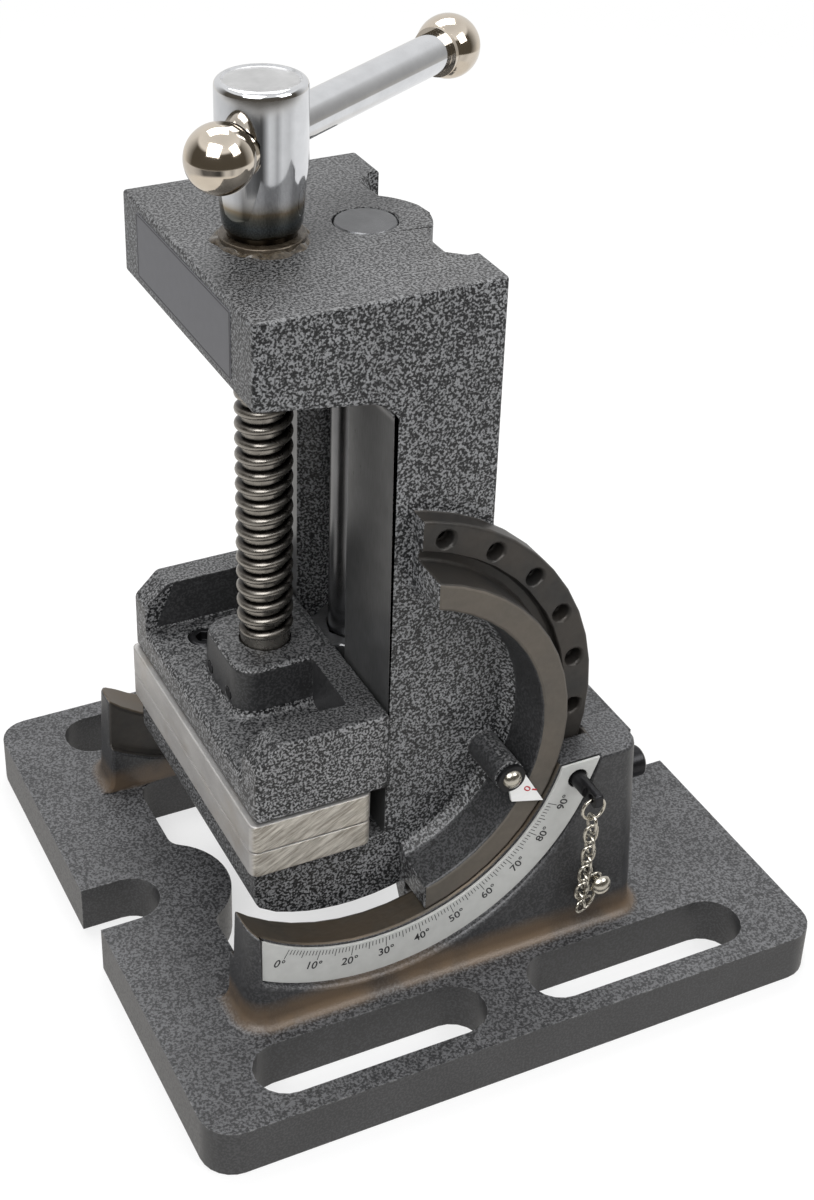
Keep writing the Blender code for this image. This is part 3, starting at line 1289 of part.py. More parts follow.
def lock_screw(side, word):
    """A lock screw in one post, on its own axis."""
    name = f"lock_screw_{word}"
    head_start = YOKE_RIGHT + (YOKE_TOP - LOCK_Z + LOCK_HEAD_RADIUS) * DRAFT_SLOPE + SEAT_GAP
    chamfer = LOCK_CHAMFER
    top = head_start + LOCK_HEAD_LENGTH
    profile = [
        (0, top),
        (LOCK_HEAD_RADIUS - chamfer, top),
        (LOCK_HEAD_RADIUS, top - chamfer),
        (LOCK_HEAD_RADIUS, head_start),
        (LOCK_RADIUS, head_start),
        (LOCK_RADIUS, LOCK_TIP_X + chamfer),
        (LOCK_RADIUS - chamfer, LOCK_TIP_X),
        (0, LOCK_TIP_X),
    ]
    place = (0, side * LOCK_Y, LOCK_Z)
    screw = turned(name, profile, place, (1, 0, 0), SMALL_STEPS)
    crown = (top, side * LOCK_Y, LOCK_Z)
    cut(screw, socket_cutter(f"{name} socket", LOCK_HEAD_RADIUS, LOCK_HEAD_LENGTH, crown, (1, 0, 0)))
    return finish(screw, BLACK_OXIDE, axis_empty(f"{name}_axis", place))


def clamp_shoes():
    """Brass shoes between the lock screws' tips and the flange rims."""
    for side, word in SIDES:
        start = (LOCK_TIP_X - SEAT_GAP, side * LOCK_Y, LOCK_Z)
        length = LOCK_TIP_X - SEAT_GAP - LOCK_BORE_END - LOCK_CHAMFER
        shoe = cylinder(f"clamp_shoe_{word}", start, (-1, 0, 0), LOCK_RADIUS, length)
        cut(shoe, ring_side(FLANGE_RADIUS + SEAT_GAP, YOKE_HALF_WIDTH, f"rim {word}"))
        finish(shoe, BRASS)


def build():
    """Make every piece, each on the empty of the joint that moves it."""
    tilt = axis_empty("tilt_axis", (TILT_X, 0, TILT_Z))
    slide = axis_empty("screw_axis", (SCREW_X, 0, 0))
    bar = axis_empty("bar_axis", (SCREW_X, 0, BAR_Z))
    pin = axis_empty("pin_axis", (PIN_X, 0, PIN_Z))
    base_casting()
    degree_scale()
    clamp_shoes()
    chain_screw()
    retaining_chain()
    index_pin(pin)
    pin_ring(pin)
    for side, word in SIDES:
        lock_screw(side, word)
    vise_body(tilt)
    guide_rod(tilt)
    jaw_plate("fixed_jaw_plate", JAW_BOTTOM, FIXED_PLATE_TOP, JAW_BOTTOM, tilt)
    jaw_screws("fixed_jaw_screw", FIXED_JAW_TOP - JAW_SCREW_FLOOR, JAW_BOTTOM, -1, tilt)
    pointer(tilt)
    pointer_screw(tilt)
    movable_jaw(slide)
    jaw_plate("movable_jaw_plate", MOVABLE_PLATE_BOTTOM, MOVABLE_PLATE_TOP, MOVABLE_PLATE_TOP, slide)
    jaw_screws("movable_jaw_screw", movable_shoulder(), MOVABLE_PLATE_TOP, 1, slide)
    retaining_pins(slide)
    lead_screw(slide)
    thrust_washer(slide)
    screw_head(slide)
    handle_bar(bar)
    handle_ball("handle_ball_near", -BALL_SEAT, bar)
    handle_ball("handle_ball_far", BALL_SEAT + BAR_TRAVEL, bar)
    for child in (slide, bar):
        child.parent = tilt
        child.matrix_parent_inverse = tilt.matrix_world.inverted()


build()
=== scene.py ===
"""The tilting drill press vise, dressed and lit as a studio photograph.

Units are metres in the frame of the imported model: +X along the plate towards the posts, +Y away
from the degree scale, +Z up. Every piece rides on the body that carries it.
"""

import json
import math

import bmesh
import bpy
from mathutils import Matrix, Vector
from mathutils.kdtree import KDTree

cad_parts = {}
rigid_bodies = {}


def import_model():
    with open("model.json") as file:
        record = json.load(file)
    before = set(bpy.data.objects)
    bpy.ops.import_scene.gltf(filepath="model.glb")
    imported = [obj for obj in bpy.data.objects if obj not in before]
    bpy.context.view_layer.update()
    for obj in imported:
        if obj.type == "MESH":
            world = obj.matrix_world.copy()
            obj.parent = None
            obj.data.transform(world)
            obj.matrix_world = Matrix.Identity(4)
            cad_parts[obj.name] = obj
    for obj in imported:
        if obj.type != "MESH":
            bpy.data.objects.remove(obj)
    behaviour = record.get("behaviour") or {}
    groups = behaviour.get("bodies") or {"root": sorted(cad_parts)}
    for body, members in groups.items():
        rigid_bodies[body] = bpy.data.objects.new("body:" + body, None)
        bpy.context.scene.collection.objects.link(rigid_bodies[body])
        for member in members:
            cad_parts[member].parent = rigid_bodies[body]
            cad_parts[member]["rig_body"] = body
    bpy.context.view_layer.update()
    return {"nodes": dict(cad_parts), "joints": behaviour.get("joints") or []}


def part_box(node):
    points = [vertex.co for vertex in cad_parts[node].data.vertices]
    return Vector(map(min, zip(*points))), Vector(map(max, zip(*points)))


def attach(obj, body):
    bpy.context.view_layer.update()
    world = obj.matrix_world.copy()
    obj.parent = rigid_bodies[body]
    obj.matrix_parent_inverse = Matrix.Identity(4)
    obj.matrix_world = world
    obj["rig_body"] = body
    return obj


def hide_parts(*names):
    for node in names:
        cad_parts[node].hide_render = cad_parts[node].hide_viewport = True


MM = 0.001

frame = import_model()
NODES = frame["nodes"]
JOINTS = {joint["name"]: joint for joint in frame["joints"]}
TILT = Vector(JOINTS["vise_tilt"]["pos_m"])
SCREW = Vector(JOINTS["screw_turn"]["pos_m"])
BAR_AXIS = -Vector(JOINTS["handle_slide"]["axis"]).normalized()

# The photograph and its camera
PHOTO_HEIGHT = 1200
PHOTO_WIDTH = 814
FOCAL_PIXELS = 2027.64
CENTER_PIXEL = (348.62, 490.18)
CAMERA_PLACE = Vector((-237.56, -461.43, 457.6)) * MM
CAMERA_YAW = 25.735
CAMERA_PITCH = -31.104
CAMERA_ROLL = 1.051
SENSOR = 36

# Edges and facets
WELD = 0.002 * MM
CAST_EDGE = 0.9 * MM
BASE_EDGE = 1.1 * MM
MACHINED_EDGE = 0.25 * MM
WASHER_EDGE = 0.3 * MM
PLATE_EDGE = 0.2 * MM
SMALL_EDGE = 0.15 * MM
THIN_EDGE = 0.1 * MM
ROD_EDGE = 0.5 * MM
WORN_EDGE = 0.9 * MM
OILY_EDGE = 0.8 * MM
FLAT_ANGLE = 0.6
EDGE_ANGLE = 33
EDGE_SHARE = 0.4
ALIGNED = 0.8
FOLD_ROUNDS = 6
FOLD_AREA = 0.01 * MM**2
FINE_STEPS = 128
ROUND_STEPS = 96
TOOL_STEPS = 64
CUT_REACH = 20 * MM

# Where the machined faces of the castings lie: radii about the tilt axis, and distances from Y 0.
# A face looks along an axis when its normal's share on that axis is more than SQUARE.
RING_INNER = 52.3 * MM
RING_OUTER = 60.5 * MM
RING_FACE = 64 * MM
SADDLE_RADIUS = 60.9 * MM
LEDGE_RADIUS = 75.2 * MM
FLANGE_RADIUS = 74 * MM
COLUMN_OUT = 47.2 * MM
CHEEK_INNER = 53.8 * MM
POST_FACE = 47.6 * MM
POST_BACK = 40 * MM
POST_LAND_LOW = 53 * MM
SLIDE_GAP = 0.02 * MM
FACE_TOLERANCE = 0.3 * MM
SQUARE = 0.9
COLUMN_FRONT = -24 * MM
TRUNNION_END = -18.2 * MM
INDEX_FLOOR_OUT = 48 * MM
HOLLOW_FLOOR_OUT = 50.2 * MM
HOLLOW_WALL_INNER = 38 * MM
TRAY_FLOOR_RISE = 10 * MM
TRAY_HALF_WIDTH = 39.8 * MM
TRAY_INSET = 5 * MM

# Lead screw thread
THREAD_PITCH = 5 * MM
THREAD_RADIUS = 8.5 * MM
THREAD_DEPTH = 2.1 * MM
THREAD_START = 108 * MM
THREAD_STEPS = 40
THREAD_RUN_IN = 0.6
THREAD_SHARES = [
    (0, 0),
    (0.13, 0),
    (0.17, 0.36),
    (0.24, 0.7),
    (0.34, 0.93),
    (0.47, 1),
    (0.6, 0.93),
    (0.7, 0.7),
    (0.77, 0.36),
    (0.81, 0),
]

# Screw head
HEAD_RADIUS = 12.5 * MM
HEAD_FOOT_RADIUS = 11.4 * MM
HEAD_FOOT = 6 * MM
HEAD_RIM = 2 * MM
HEAD_DISC = 10 * MM
HEAD_DISC_DROP = 0.45 * MM
HEAD_FOOT_LIP = 0.4 * MM
TEMPER_HEIGHT = 14 * MM
COLLAR_WAIST = 2.2 * MM
WASHER_GAP = 0.3 * MM
BALL_RADIUS = 9.5 * MM
BAR_RADIUS = 6 * MM
BORE_GAP = 0.3 * MM
BALL_NECK = 1.4 * MM

# Degree scale
SCALE_ZERO = -118
DIGIT_ZERO = -118.6
DIGIT_STEP = 1.02
DIGIT_RADIUS = 67.6 * MM
DIGIT_SIZE = 3.9 * MM
TICK_INNER = 62.1 * MM
TICK_SHORT = 1.7 * MM
TICK_MIDDLE = 2.6 * MM
TICK_LONG = 3.5 * MM
TICK_WIDTH = 0.22 * MM
INK_THICKNESS = 0.03 * MM
INK_LIFT = 0.02 * MM
INK_SWELL = 0.05 * MM

# Label plate on the head block
HEAD_FRONT = -65.1 * MM
LABEL_MIDDLE_Y = 1.5 * MM
LABEL_WIDTH = 69 * MM
LABEL_HEIGHT = 20 * MM
LABEL_MIDDLE_Z = 221.6 * MM
LABEL_THICKNESS = 0.35 * MM
LABEL_CORNER = 1 * MM
LABEL_BORDER = 0.9 * MM
LABEL_LINE = 0.35 * MM

# Pointer
POINTER_MARK_X = 13.6 * MM
POINTER_MARK_Z = 75.1 * MM
POINTER_DIGIT_SIZE = 3.6 * MM
POINTER_TAB_X = 7.9 * MM
POINTER_TAB_Z = 80.8 * MM
POINTER_TAB_RADIUS = 4.5 * MM
POINTER_TAB_HEIGHT = 0.35 * MM
POINTER_TAB_BORE = 1.6 * MM
POINTER_TAB_BACK = -0.8 * MM
POINTER_LEAN = 50
POINTER_TICK_OUT = 2.6 * MM

# Grease round the foot of the screw: radii, and (share of the width, height in mm) from the inside
GREASE_INNER = 9.5
GREASE_OUTER = 13.4
GREASE_SWELL = 0.8
GREASE_PROFILE = [(0, 1.6), (0.3, 1.9), (0.7, 1.2), (0.9, 0.5), (1, 0)]

# Hammertone flecks: cells per metre, and how much paler the dark web is on level faces, as painted sheen
FLECK_SCALE = 1350
LEVEL_WEB_SHEEN = 1.4

# Lighter brown band at the foot of the cheeks: from the plate's top upward
FOOT_BAND_LOW = 15.5 * MM
FOOT_BAND_HIGH = 26 * MM

# Floor and lights
FLOOR_REACH = 3
FLOOR_DROP = 0.3 * MM
FLOOR_GLOW = 0.62
FLOOR_SEEN = (0.9, 0.9, 0.9)
FLOOR_LIT = (0.5, 0.5, 0.5)
WORLD_LIGHT = 0.62
SWEEP = (0.82, 0.8, 0.77)
DARK_ROOM = (0.09, 0.08, 0.065)

# By compass direction in degrees: the flags that the chrome head mirrors, and how dark the room is
FLAG_SHADES = [
    (-180, 0.45),
    (-172, 0.3),
    (-165, 0.12),
    (-140, 0.14),
    (-122, 0.07),
    (-112, 0.06),
    (-106, 0.22),
    (-94, 0.72),
    (-84, 0.64),
    (-75, 0.42),
    (-62, 0.74),
    (-43, 0.64),
    (-24, 0.86),
    (36, 0.92),
    (113, 0.75),
    (160, 0.62),
    (180, 0.45),
]
ROOM_SHARES = [
    (-180, 1),
    (-26, 1),
    (-8, 0.6),
    (12, 0.1),
    (25, 0),
    (98, 0),
    (116, 0.1),
    (136, 0.6),
    (154, 1),
    (180, 1),
]


def new_material(name):
    """An empty node material with its Principled shader."""
    made = bpy.data.materials.new(name)
    made.use_nodes = True
    tree = made.node_tree
    return made, tree, tree.nodes["Principled BSDF"]


def add_node(tree, kind, inputs=None, **settings):
    """A shader node with its settings, and inputs that are numbers or other nodes' outputs."""
    node = tree.nodes.new(kind)
    for name, value in settings.items():
        setattr(node, name, value)
    for name, value in (inputs or {}).items():
        if isinstance(value, bpy.types.NodeSocket):
            tree.links.new(value, node.inputs[name])
        else:
            node.inputs[name].default_value = value
    return node


def object_place(tree):
    """Coordinates that stay with the piece."""
    return add_node(tree, "ShaderNodeTexCoord").outputs["Object"]


def facing(tree):
    """The X, Y and Z shares of the direction that a surface looks in."""
    normal = add_node(tree, "ShaderNodeTexCoord").outputs["Normal"]
    return add_node(tree, "ShaderNodeSeparateXYZ", {"Vector": normal}).outputs


def ramp(tree, value, *stops):
    """A color ramp through (position, grey or color) stops."""
    node = add_node(tree, "ShaderNodeValToRGB", {"Fac": value})
    elements = node.color_ramp.elements
    while len(elements) < len(stops):
        elements.new(0.5)
    for element, (position, color) in zip(elements, stops):
        element.position = position
        element.color = (*color, 1) if isinstance(color, tuple) else (color, color, color, 1)
    return node.outputs["Color"]


def noise(tree, place, scale, detail=2.0, roughness=0.5, stretch=(1, 1, 1)):
    """A noise value at a scale in cells per metre."""
    mapped = add_node(tree, "ShaderNodeMapping", {"Vector": place, "Scale": stretch})
    inputs = {"Vector": mapped.outputs["Vector"], "Scale": scale, "Detail": detail, "Roughness": roughness}
    return add_node(tree, "ShaderNodeTexNoise", inputs).outputs["Fac"]


def mixed(tree, factor, first, second, blend="MIX"):
    """Two colors mixed."""
    node = add_node(tree, "ShaderNodeMix", {"Factor": factor}, data_type="RGBA", blend_type=blend)
    for socket, value in ((node.inputs[6], first), (node.inputs[7], second)):
        if isinstance(value, bpy.types.NodeSocket):
            tree.links.new(value, socket)
        else:
            socket.default_value = (*value, 1)
    return node.outputs[2]


def computed(tree, operation, *values):
    """A math node."""
    node = add_node(tree, "ShaderNodeMath", operation=operation)
    for socket, value in zip(node.inputs, values):
        if isinstance(value, bpy.types.NodeSocket):
            tree.links.new(value, socket)
        else:
            socket.default_value = value
    return node.outputs[0]


def bumped(tree, shader, height, distance, strength=1.0):
    """Relief from a height, in metres at strength 1."""
    inputs = {"Height": height, "Distance": distance, "Strength": strength}
    tree.links.new(add_node(tree, "ShaderNodeBump", inputs).outputs["Normal"], shader.inputs["Normal"])


def height_share(tree, low, high):
    """How far up a point lies between two heights, from 0 to 1."""
    split = add_node(tree, "ShaderNodeSeparateXYZ", {"Vector": object_place(tree)})
    inputs = {"Value": split.outputs["Z"], "From Min": low, "From Max": high}
    return add_node(tree, "ShaderNodeMapRange", inputs).outputs["Result"]


def edge_share(tree, radius, low, high):
    """Where a surface turns an edge, from 0 on flat faces to 1 on the edge."""
    rounded = add_node(tree, "ShaderNodeBevel", {"Radius": radius}, samples=4)
    plain = add_node(tree, "ShaderNodeNewGeometry").outputs["Normal"]
    inputs = {0: rounded.outputs["Normal"], 1: plain}
    agree = add_node(tree, "ShaderNodeVectorMath", inputs, operation="DOT_PRODUCT").outputs["Value"]
    return ramp(tree, computed(tree, "SUBTRACT", 1, agree), (low, 0.0), (high, 1.0))


def hammertone(name, dark, light, calm=0.0, band_at_foot=None, level_light=None):
    """Hammertone enamel: pale flecks in a dark web, finer and softer on level faces, where the paler web is painted
    sheen.
    """
    made, tree, shader = new_material(name)
    place = object_place(tree)
    level = ramp(tree, facing(tree)["Z"], (0.45, 0.0), (0.85, 1.0))
    cells = noise(tree, place, FLECK_SCALE, 1, 0.6)
    flecks = ramp(tree, cells, (0.44, 0.0), (0.52, 0.35), (0.61, 1.0))
    level_flecks = ramp(tree, cells, (0.4, 0.0), (0.5, 0.42), (0.6, 1.0))
    cloud = ramp(tree, noise(tree, place, 42, 3, 0.6), (0.3, 0.85), (0.7, 1.12))
    middle = tuple(low * 0.65 + high * 0.35 for low, high in zip(dark, light))
    color = mixed(tree, calm, mixed(tree, flecks, dark, light), middle)
    # Level faces get a paler dark web and their own pale fleck colour: painted sheen.
    level_color = mixed(tree, level_flecks, tuple(value * LEVEL_WEB_SHEEN for value in dark), level_light or light)
    color = mixed(tree, level, color, level_color)
    color = mixed(tree, 1.0, color, cloud, "MULTIPLY")
    patches = ramp(tree, noise(tree, place, 380, 4, 0.7), (0.5, 0.0), (0.66, 0.75))
    worn = computed(tree, "MULTIPLY", edge_share(tree, WORN_EDGE, 0.02, 0.2), patches)
    color = mixed(tree, worn, color, (0.3, 0.3, 0.3))
    if band_at_foot is not None:
        share, tint = band_at_foot(tree)
        color = mixed(tree, share, color, tint)
    tree.links.new(color, shader.inputs["Base Color"])
    tree.links.new(ramp(tree, flecks, (0.0, 0.36), (1.0, 0.5)), shader.inputs["Roughness"])
    shader.inputs["Metallic"].default_value = 0.2
    bumped(tree, shader, flecks, 0.04 * MM, 0.6 * (1 - calm))
    return made


def brown_foot_band(tree):
    """Lighter brown along the foot fillets of the cheeks and in patches on the plate."""
    share = height_share(tree, FOOT_BAND_LOW, FOOT_BAND_HIGH)
    up = ramp(tree, share, (0.05, 0.0), (0.1, 0.7), (0.25, 1.0), (0.6, 0.8), (1.0, 0.0))
    patches = ramp(tree, noise(tree, object_place(tree), 45, 3, 0.6), (0.32, 0.35), (0.55, 0.95))
    return computed(tree, "MULTIPLY", up, patches), (0.15, 0.104, 0.066)


def machined(name, color, roughness, metallic=0.7, scale=900, stretch=(1, 1, 1), depth=0.5, brown=0.0):
    """A cut face: fine tool marks, soft clouding and, on oily faces, a brown film."""
    made, tree, shader = new_material(name)
    place = object_place(tree)
    marks = noise(tree, place, scale, 3, 0.65, stretch)
    cloud = noise(tree, place, 55, 3, 0.6)
    dark = tuple(value * (1 - depth * 0.6) for value in color)
    light = tuple(value * (1 + depth * 0.5) for value in color)
    tone = mixed(tree, ramp(tree, marks, (0.3, 0.0), (0.7, 1.0)), dark, light)
    tone = mixed(tree, 1.0, tone, ramp(tree, cloud, (0.3, 0.8), (0.7, 1.15)), "MULTIPLY")
    film = computed(tree, "MULTIPLY", ramp(tree, cloud, (0.35, 0.0), (0.6, 1.0)), brown)
    tone = mixed(tree, film, tone, (0.085, 0.06, 0.038))
    tree.links.new(tone, shader.inputs["Base Color"])
    rough = add_node(
        tree,
        "ShaderNodeMapRange",
        {"Value": marks, "To Min": roughness * 0.8, "To Max": roughness * 1.2},
    )
    tree.links.new(rough.outputs["Result"], shader.inputs["Roughness"])
    shader.inputs["Metallic"].default_value = metallic
    bumped(tree, shader, marks, 0.02 * MM, 0.5)
    return made


def plated(name, color, roughness, tint=None):
    """Polished plate with faint wiping marks, and a tint low down if one is given."""
    made, tree, shader = new_material(name)
    place = object_place(tree)
    haze = noise(tree, place, 140, 4, 0.6)
    tone = mixed(tree, ramp(tree, haze, (0.35, 0.0), (0.7, 1.0)), color, tuple(value * 0.9 for value in color))
    if tint is not None:
        tone = tint(tree, tone)
    tree.links.new(tone, shader.inputs["Base Color"])
    rough = {"Value": haze, "To Min": roughness * 0.6, "To Max": roughness * 1.5}
    tree.links.new(add_node(tree, "ShaderNodeMapRange", rough).outputs["Result"], shader.inputs["Roughness"])
    shader.inputs["Metallic"].default_value = 1
    return made


def heat_tint(tree, tone):
    """Temper colors round the foot of the chrome head: straw, then blue grey, then dark."""
    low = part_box("thrust_washer")[1].z
    share = height_share(tree, low, low + TEMPER_HEIGHT)
    wobble = computed(tree, "MULTIPLY", noise(tree, object_place(tree), 90, 2), 0.2)
    share = computed(tree, "SUBTRACT", computed(tree, "ADD", share, wobble), 0.1)
    tint = ramp(
        tree,
        share,
        (0.08, (0.025, 0.02, 0.015)),
        (0.22, (0.07, 0.066, 0.055)),
        (0.4, (0.11, 0.125, 0.13)),
        (0.58, (0.17, 0.165, 0.14)),
        (0.7, (0.32, 0.26, 0.18)),
        (0.88, (0.66, 0.64, 0.6)),
    )
    return mixed(tree, ramp(tree, share, (0.68, 1.0), (0.95, 0.0)), tone, tint)


def thread_steel():
    """Oily thread steel: black in the grooves as painted shade, plain steel on the round crests."""
    made, tree, shader = new_material("thread_steel")
    place = object_place(tree)
    offset = add_node(tree, "ShaderNodeVectorMath", {0: place, 1: (SCREW.x, SCREW.y, 0)}, operation="SUBTRACT")
    split = add_node(tree, "ShaderNodeSeparateXYZ", {"Vector": offset.outputs["Vector"]})
    flat = add_node(tree, "ShaderNodeCombineXYZ", {"X": split.outputs["X"], "Y": split.outputs["Y"]})
    reach = add_node(tree, "ShaderNodeVectorMath", {0: flat.outputs["Vector"]}, operation="LENGTH").outputs["Value"]
    low = THREAD_RADIUS - THREAD_DEPTH
    inputs = {"Value": reach, "From Min": low, "From Max": THREAD_RADIUS}
    share = add_node(tree, "ShaderNodeMapRange", inputs).outputs["Result"]
    wear = noise(tree, place, 420, 3, 0.6)
    share = computed(tree, "ADD", share, computed(tree, "MULTIPLY", computed(tree, "SUBTRACT", wear, 0.5), 0.25))
    # Darker towards the root of the thread: painted shade in the grooves.
    tone = ramp(
        tree,
        share,
        (0.2, (0.01, 0.009, 0.008)),
        (0.6, (0.07, 0.062, 0.055)),
        (0.95, (0.34, 0.32, 0.29)),
    )
    tree.links.new(tone, shader.inputs["Base Color"])
    tree.links.new(ramp(tree, wear, (0.3, 0.2), (0.7, 0.36)), shader.inputs["Roughness"])
    shader.inputs["Metallic"].default_value = 0.95
    return made


def printed(name, color, roughness=0.5, metallic=0.0):
    """Ink or enamel with a faint unevenness."""
    made, tree, shader = new_material(name)
    patches = noise(tree, object_place(tree), 260, 3, 0.6)
    tone = mixed(tree, ramp(tree, patches, (0.3, 0.0), (0.75, 1.0)), color, tuple(value * 0.9 for value in color))
    tree.links.new(tone, shader.inputs["Base Color"])
    shader.inputs["Roughness"].default_value = roughness
    shader.inputs["Metallic"].default_value = metallic
    bumped(tree, shader, patches, 0.01 * MM, 0.3)
    return made


def ground_steel():
    """Surface-ground steel: pale long sides, and slanting grinding lines on the warm ends."""
    made, tree, shader = new_material("ground_steel")
    place = object_place(tree)
    end = ramp(tree, computed(tree, "ABSOLUTE", facing(tree)["Y"]), (0.5, 0.0), (0.8, 1.0))
    turned = add_node(tree, "ShaderNodeMapping", {"Vector": place, "Rotation": (0, math.radians(28), 0)})
    lines = noise(tree, turned.outputs["Vector"], 210, 4, 0.65, (0.7, 3, 6))
    soft = noise(tree, place, 120, 4, 0.6, (1, 0.5, 1))
    warm = noise(tree, place, 70, 3, 0.6)
    ends = mixed(tree, ramp(tree, lines, (0.36, 0.0), (0.64, 1.0)), (0.3, 0.275, 0.24), (0.68, 0.65, 0.59))
    sides = mixed(tree, ramp(tree, soft, (0.3, 0.0), (0.7, 1.0)), (0.4, 0.39, 0.385), (0.52, 0.51, 0.5))
    tone = mixed(tree, end, sides, ends)
    tone = mixed(tree, ramp(tree, warm, (0.5, 0.0), (0.72, 0.3)), tone, (0.36, 0.29, 0.2))
    tone = mixed(tree, edge_share(tree, OILY_EDGE, 0.03, 0.2), tone, (0.2, 0.15, 0.1))
    tree.links.new(tone, shader.inputs["Base Color"])
    tree.links.new(ramp(tree, lines, (0.3, 0.36), (0.7, 0.5)), shader.inputs["Roughness"])
    shader.inputs["Metallic"].default_value = 0.7
    bumped(tree, shader, lines, 0.01 * MM, 0.4)
    return made


BODY_PAINT = hammertone(
    "body_hammertone", (0.011, 0.0112, 0.012), (0.25, 0.254, 0.261), level_light=(0.16, 0.161, 0.164)
)
JAW_PAINT = hammertone(
    "jaw_hammertone", (0.01, 0.0102, 0.011), (0.27, 0.272, 0.278), level_light=(0.15, 0.151, 0.154)
)
# Dark, calm hammertone as painted shade in the ring's bore and on upright faces inside the movable jaw's tray.
PAINTED_SHADE_HAMMERTONE = hammertone("painted_shade_hammertone", (0.014, 0.0142, 0.015), (0.08, 0.081, 0.084), 0.6)
# Base: its upright faces are painted darker and calmer than its level ones, as painted shade.
BASE_PAINT = hammertone(
    "base_hammertone", (0.02, 0.0202, 0.0214), (0.085, 0.086, 0.09), 0.55, brown_foot_band, (0.12, 0.121, 0.126)
)
RING_FACE_STEEL = machined("turned_ring", (0.115, 0.103, 0.088), 0.6, 0.3, 500, depth=0.2, brown=0.2)
SADDLE_FACE = machined("turned_saddle", (0.1, 0.088, 0.072), 0.42, 0.6, 420, (1, 3, 1), 0.35, 0.6)
FLANGE_FACE = machined("turned_flange", (0.046, 0.045, 0.0435), 0.45, 0.5, 500, depth=0.25, brown=0.2)
# Near-black floors of the index holes: painted shade down in the holes.
HOLE_FLOOR_SHADE = machined("drilled_hole_shade", (0.006, 0.0058, 0.0055), 0.6, 1, 600, depth=0.3)
WAY_FACE = machined("machined_ways", (0.165, 0.167, 0.17), 0.3, 0.8, 500, (1, 4, 0.4), 0.3)
PLAIN_CUT = machined("machined_underside", (0.2, 0.195, 0.19), 0.45, 0.8, 300, (1, 5, 1), 0.4, 0.3)
BLACK_STEEL = machined("black_oxide", (0.022, 0.022, 0.024), 0.32, 0.7, 900, depth=0.4)
ROD_STEEL = machined("polished_rod", (0.17, 0.172, 0.178), 0.25, 0.95, 700, (1, 1, 0.15), 0.15)
OILY_WASHER = machined("oily_washer", (0.085, 0.072, 0.055), 0.25, 0.5, 650, depth=1.2, brown=0.5)
BRASS = machined("brass", (0.6, 0.42, 0.15), 0.35, 1, 600)
GREASE = machined("brown_grease", (0.06, 0.048, 0.034), 0.12, 0.0, 700, depth=1.2)
DISC_STEEL = machined("brushed_disc", (0.43, 0.43, 0.43), 0.42, 0.8, 420, (1, 5, 1), 0.12)
GROUND = ground_steel()
THREAD = thread_steel()
CHROME = plated("chrome", (0.78, 0.79, 0.81), 0.09)
HEAD_CHROME = plated("head_chrome", (0.78, 0.79, 0.81), 0.08, heat_tint)
NICKEL = plated("nickel", (0.74, 0.66, 0.56), 0.09)
ZINC = plated("bright_zinc", (0.6, 0.57, 0.5), 0.22)
SCALE_PLATE = printed("scale_sheet", (0.5, 0.505, 0.49), 0.42, 0.1)
WHITE_ENAMEL = printed("white_enamel", (0.8, 0.8, 0.79), 0.4)
BLACK_INK = printed("black_ink", (0.02, 0.02, 0.022), 0.5)
RED_INK = printed("red_ink", (0.45, 0.02, 0.035), 0.5)
LABEL_SHEET = printed("label_sheet", (0.105, 0.106, 0.117), 0.4, 0.2)
LABEL_DARK = printed("label_border", (0.015, 0.015, 0.017), 0.45)


def node_shell(node, rule=None, flatten=True):
    """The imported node's surface, welded, with a material index from the rule on each flat face."""
    source = NODES[node].data
    mesh = bpy.data.meshes.new(node)
    mesh.from_pydata([vert.co for vert in source.vertices], [], [tuple(face.vertices) for face in source.polygons])
    work = bmesh.new()
    work.from_mesh(mesh)
    bmesh.ops.remove_doubles(work, verts=work.verts, dist=WELD)
    bmesh.ops.recalc_face_normals(work, faces=work.faces)
    if rule is not None:
        for face in work.faces:
            face.material_index = rule(face.calc_center_median(), face.normal)
    if flatten:
        limit = math.radians(FLAT_ANGLE)
        bmesh.ops.dissolve_limit(
            work, angle_limit=limit, verts=work.verts, edges=work.edges, delimit={"MATERIAL"}
        )
    work.to_mesh(mesh)
    work.free()
    return mesh


def settle(piece, looks, body, node=None):
    """Give a piece its materials and smooth shading, and hang it on its body."""
    for look in looks:
        piece.data.materials.append(look)
    if isinstance(piece.data, bpy.types.Mesh):
        piece.data.shade_smooth()
        piece.data.set_sharp_from_angle(angle=math.radians(EDGE_ANGLE))
    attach(piece, body)
    if node is not None:
        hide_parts(node)
    return piece


def add_piece(name, mesh, place=None):
    """Link a mesh or curve as a new piece."""
    piece = bpy.data.objects.new(name, mesh)
    bpy.context.scene.collection.objects.link(piece)
    if place is not None:
        piece.matrix_world = place
    return piece


def edge_weights(mesh, width):
    """Weight each sharp edge by the room that its faces leave for rounding it."""
    work = bmesh.new()
    work.from_mesh(mesh)
    weights = work.edges.layers.float.new("bevel_weight_edge")
    sharp = {edge for edge in work.edges if edge.is_manifold and edge.calc_face_angle() > math.radians(EDGE_ANGLE)}
    for edge in sharp:
        room = width
        run = (edge.verts[1].co - edge.verts[0].co).normalized()
        for vert in edge.verts:
            for other in vert.link_edges:
                if other is edge:
                    continue
                along = other.other_vert(vert).co - vert.co
                if other in sharp and abs(along.normalized().dot(run)) > ALIGNED:
                    continue
                room = min(room, along.length * EDGE_SHARE)
        # The lands beside the lock screws' openings are too thin for a casting's rounding.
        if all(abs(v.co.x - POST_BACK) < FACE_TOLERANCE and v.co.z > POST_LAND_LOW for v in edge.verts):
            room = min(room, MACHINED_EDGE)
        edge[weights] = max(room / width, 0)
    work.to_mesh(mesh)
    work.free()


